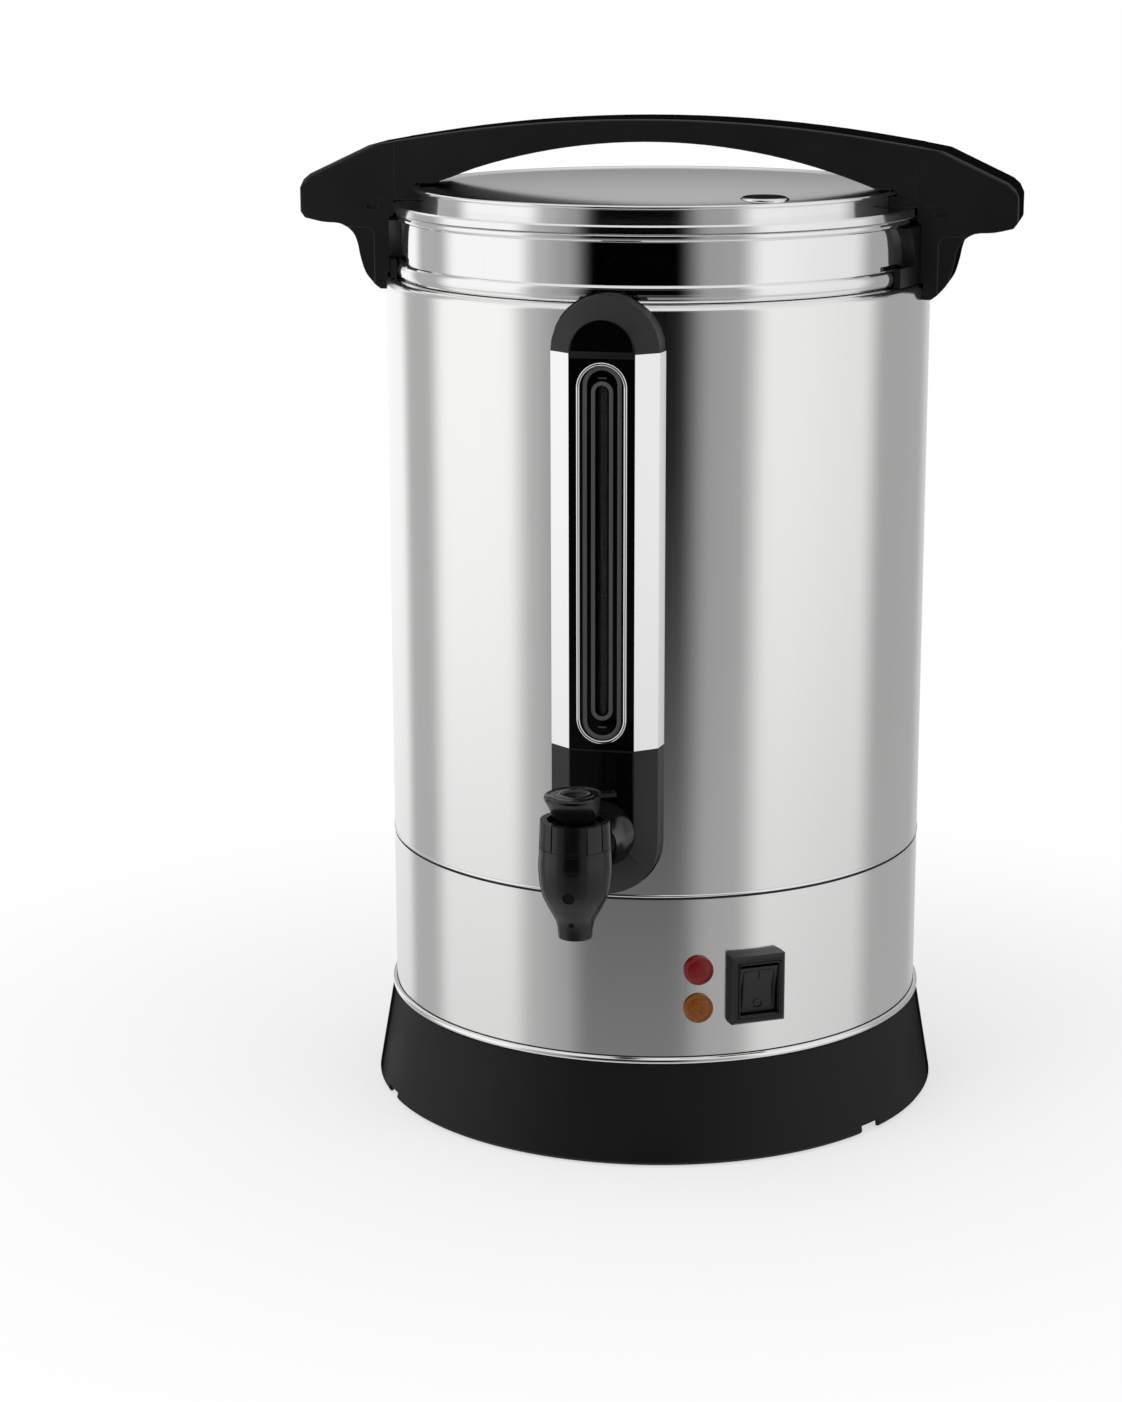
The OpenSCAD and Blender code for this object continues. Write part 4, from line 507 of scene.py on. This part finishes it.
def make_beads():
    """Rolled edges of the steel, with thin black rings beside them as painted shade: one over the
    housing's bead and one under the shell's hem.
    """
    # sections of the two black rings that stand in for the shade in the grooves: painted shade, not a
    # part
    shade_over_bead = [(134.6, 53.3), (135.06, 53.3), (135.06, 53.85), (134.6, 53.85)]
    shade_under_hem = [(134.2, 133.08), (134.95, 133.08), (134.95, 133.95), (134.2, 133.95)]
    lathe("housing_bead_shown", disc_section(135.4, 51.65, 1.76), "urn", "body_steel")
    # painted shade: a black ring in the groove over the housing's bead
    lathe("housing_painted_shade", shade_over_bead, "urn", "rubber_black")
    lathe("shell_hem", disc_section(134.55, 134.78, 0.8), "urn", "body_steel")
    # painted shade: a black ring in the groove under the shell's hem
    lathe("seam_painted_shade", shade_under_hem, "urn", "rubber_black")


def make_vent_liner():
    """Black grommet in the lid's steam vent, its flange lying on the vent's rim."""
    at = Matrix.Translation((63.06 * MM, -73.05 * MM, 0))
    section = [(6.9, 460.05), (6.9, 461.5), (7.7, 462.1), (8.9, 462.1), (10.4, 461.7), (10.4, 461.86),
               (9.0, 462.25), (6.6, 462.25), (6.0, 461.9), (6.0, 457.2), (6.6, 457.2), (6.6, 460.05)]
    lathe("vent_liner", section, "lid", "rubber_black", at, 64)


def make_tap_spring():
    """The tap's return spring, which the rising stem squeezes against the bonnet on the real tap; here
    it is a fixed copy of its CAD node on the urn's body.
    """
    bm = bmesh.new()
    bm.from_mesh(nodes["tap_spring"].data)
    spring = finish_piece("tap_spring_shown", bm, "urn", "spring_steel")
    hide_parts("tap_spring")
    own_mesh(spring)


def make_barrel_flare():
    """Flare where the tap's barrel meets the column."""
    at = Matrix.Translation((0, 0, 169.5 * MM)) @ Matrix.Rotation(math.radians(90), 4, "X")
    section = [(10.2, 149.1), (16.0, 149.1), (15.6, 150.6), (13.4, 155.5), (11.8, 161.5),
               (10.9, 168), (10.2, 168)]
    lathe("barrel_flare", section, "urn", "tap_black", at, 96)


def edging(name, width, height, corner, radius, rise, body, slot, place):
    """A thin round edging along a rounded rectangle. rise gives its level at a height."""
    corner_steps, round_steps = 4, 10
    bm = bmesh.new()
    rings = []
    for k, (side, end) in enumerate(((1, 1), (-1, 1), (-1, -1), (1, -1))):
        for step in range(corner_steps + 1):
            turn = math.radians(90 * (k + step / corner_steps))
            out = Vector((math.cos(turn), math.sin(turn), 0))
            centre = Vector((side * (width / 2 - corner), end * (height / 2 - corner), 0))
            at = centre + corner * out
            at.z = rise(at.y)
            ring = []
            for point in range(round_steps):
                lean = 2 * math.pi * point / round_steps
                arm = math.cos(lean) * out + Vector((0, 0, math.sin(lean)))
                ring.append(bm.verts.new((at + radius * arm) * MM))
            rings.append(ring)
    for ring, after in zip(rings, rings[1:] + rings[:1]):
        for k in range(round_steps):
            m = (k + 1) % round_steps
            bm.faces.new((ring[k], after[k], after[m], ring[m]))
    bm.transform(place)
    return finish_piece(name, bm, body, slot)


def lip_rise(y):
    """Level of the lip round the switch's opening, in mm out of the wall, the same at every y."""
    return 6.95


def rocker_rise(y):
    """Level of the rocker's hollow face over its pivot, in mm, at a height from its middle."""
    return 1.85 + abs(y) / 11.8


def make_switch_edges():
    """The lip round the switch's opening, and the raised border on the rocker's hollow face."""
    wall = on_wall(SWITCH_ANGLE, SWITCH_Z)
    pivot = Matrix.Translation((0, 0, ROCKER_PIVOT * MM))
    rocker = wall @ pivot @ Matrix.Rotation(math.radians(ROCKER_REST), 4, "X")
    edging("switch_lip", 20.8, 26.6, 0.9, 0.5, lip_rise, "urn", "switch_black", wall)
    edging("rocker_border", 15.8, 19.8, 1.0, 0.38, rocker_rise, "rocker", "rocker_black", rocker)


def dress_nodes():
    """Every CAD node that stays in view gets its finish."""
    for name, node in nodes.items():
        for slot in node.material_slots:
            slot.material = MATERIALS[slot_of[name]]


make_camera()
make_world()
make_lamp("key_lamp", (-1.4, -1.6, 2.2), 1.6, 0.30)
make_lamp("fill_lamp", (1.8, -0.8, 1.6), 1.4, 0.16)
make_floor()
dress_nodes()
refined("lid_bar", 1.2, bar_share, clamped=False, longer=0.85)
refined("grip_left", 2.6, grip_share, clamped=False)
refined("grip_right", 2.6, grip_share, clamped=False)
refined("gauge_bezel", 0.85, clamped=False)
refined("gauge_frames", 0.5, clamped=False)
refined("gauge_cap", 0.5, weighed=False)
refined("tap_housing", 0.5, weighed=False)
for node, width in SMALL_ROUNDS.items():
    refined(node, width)
make_lamps()
make_beads()
make_vent_liner()
make_tap_spring()
make_barrel_flare()
make_switch_edges()

scene.view_settings.view_transform = "Standard"
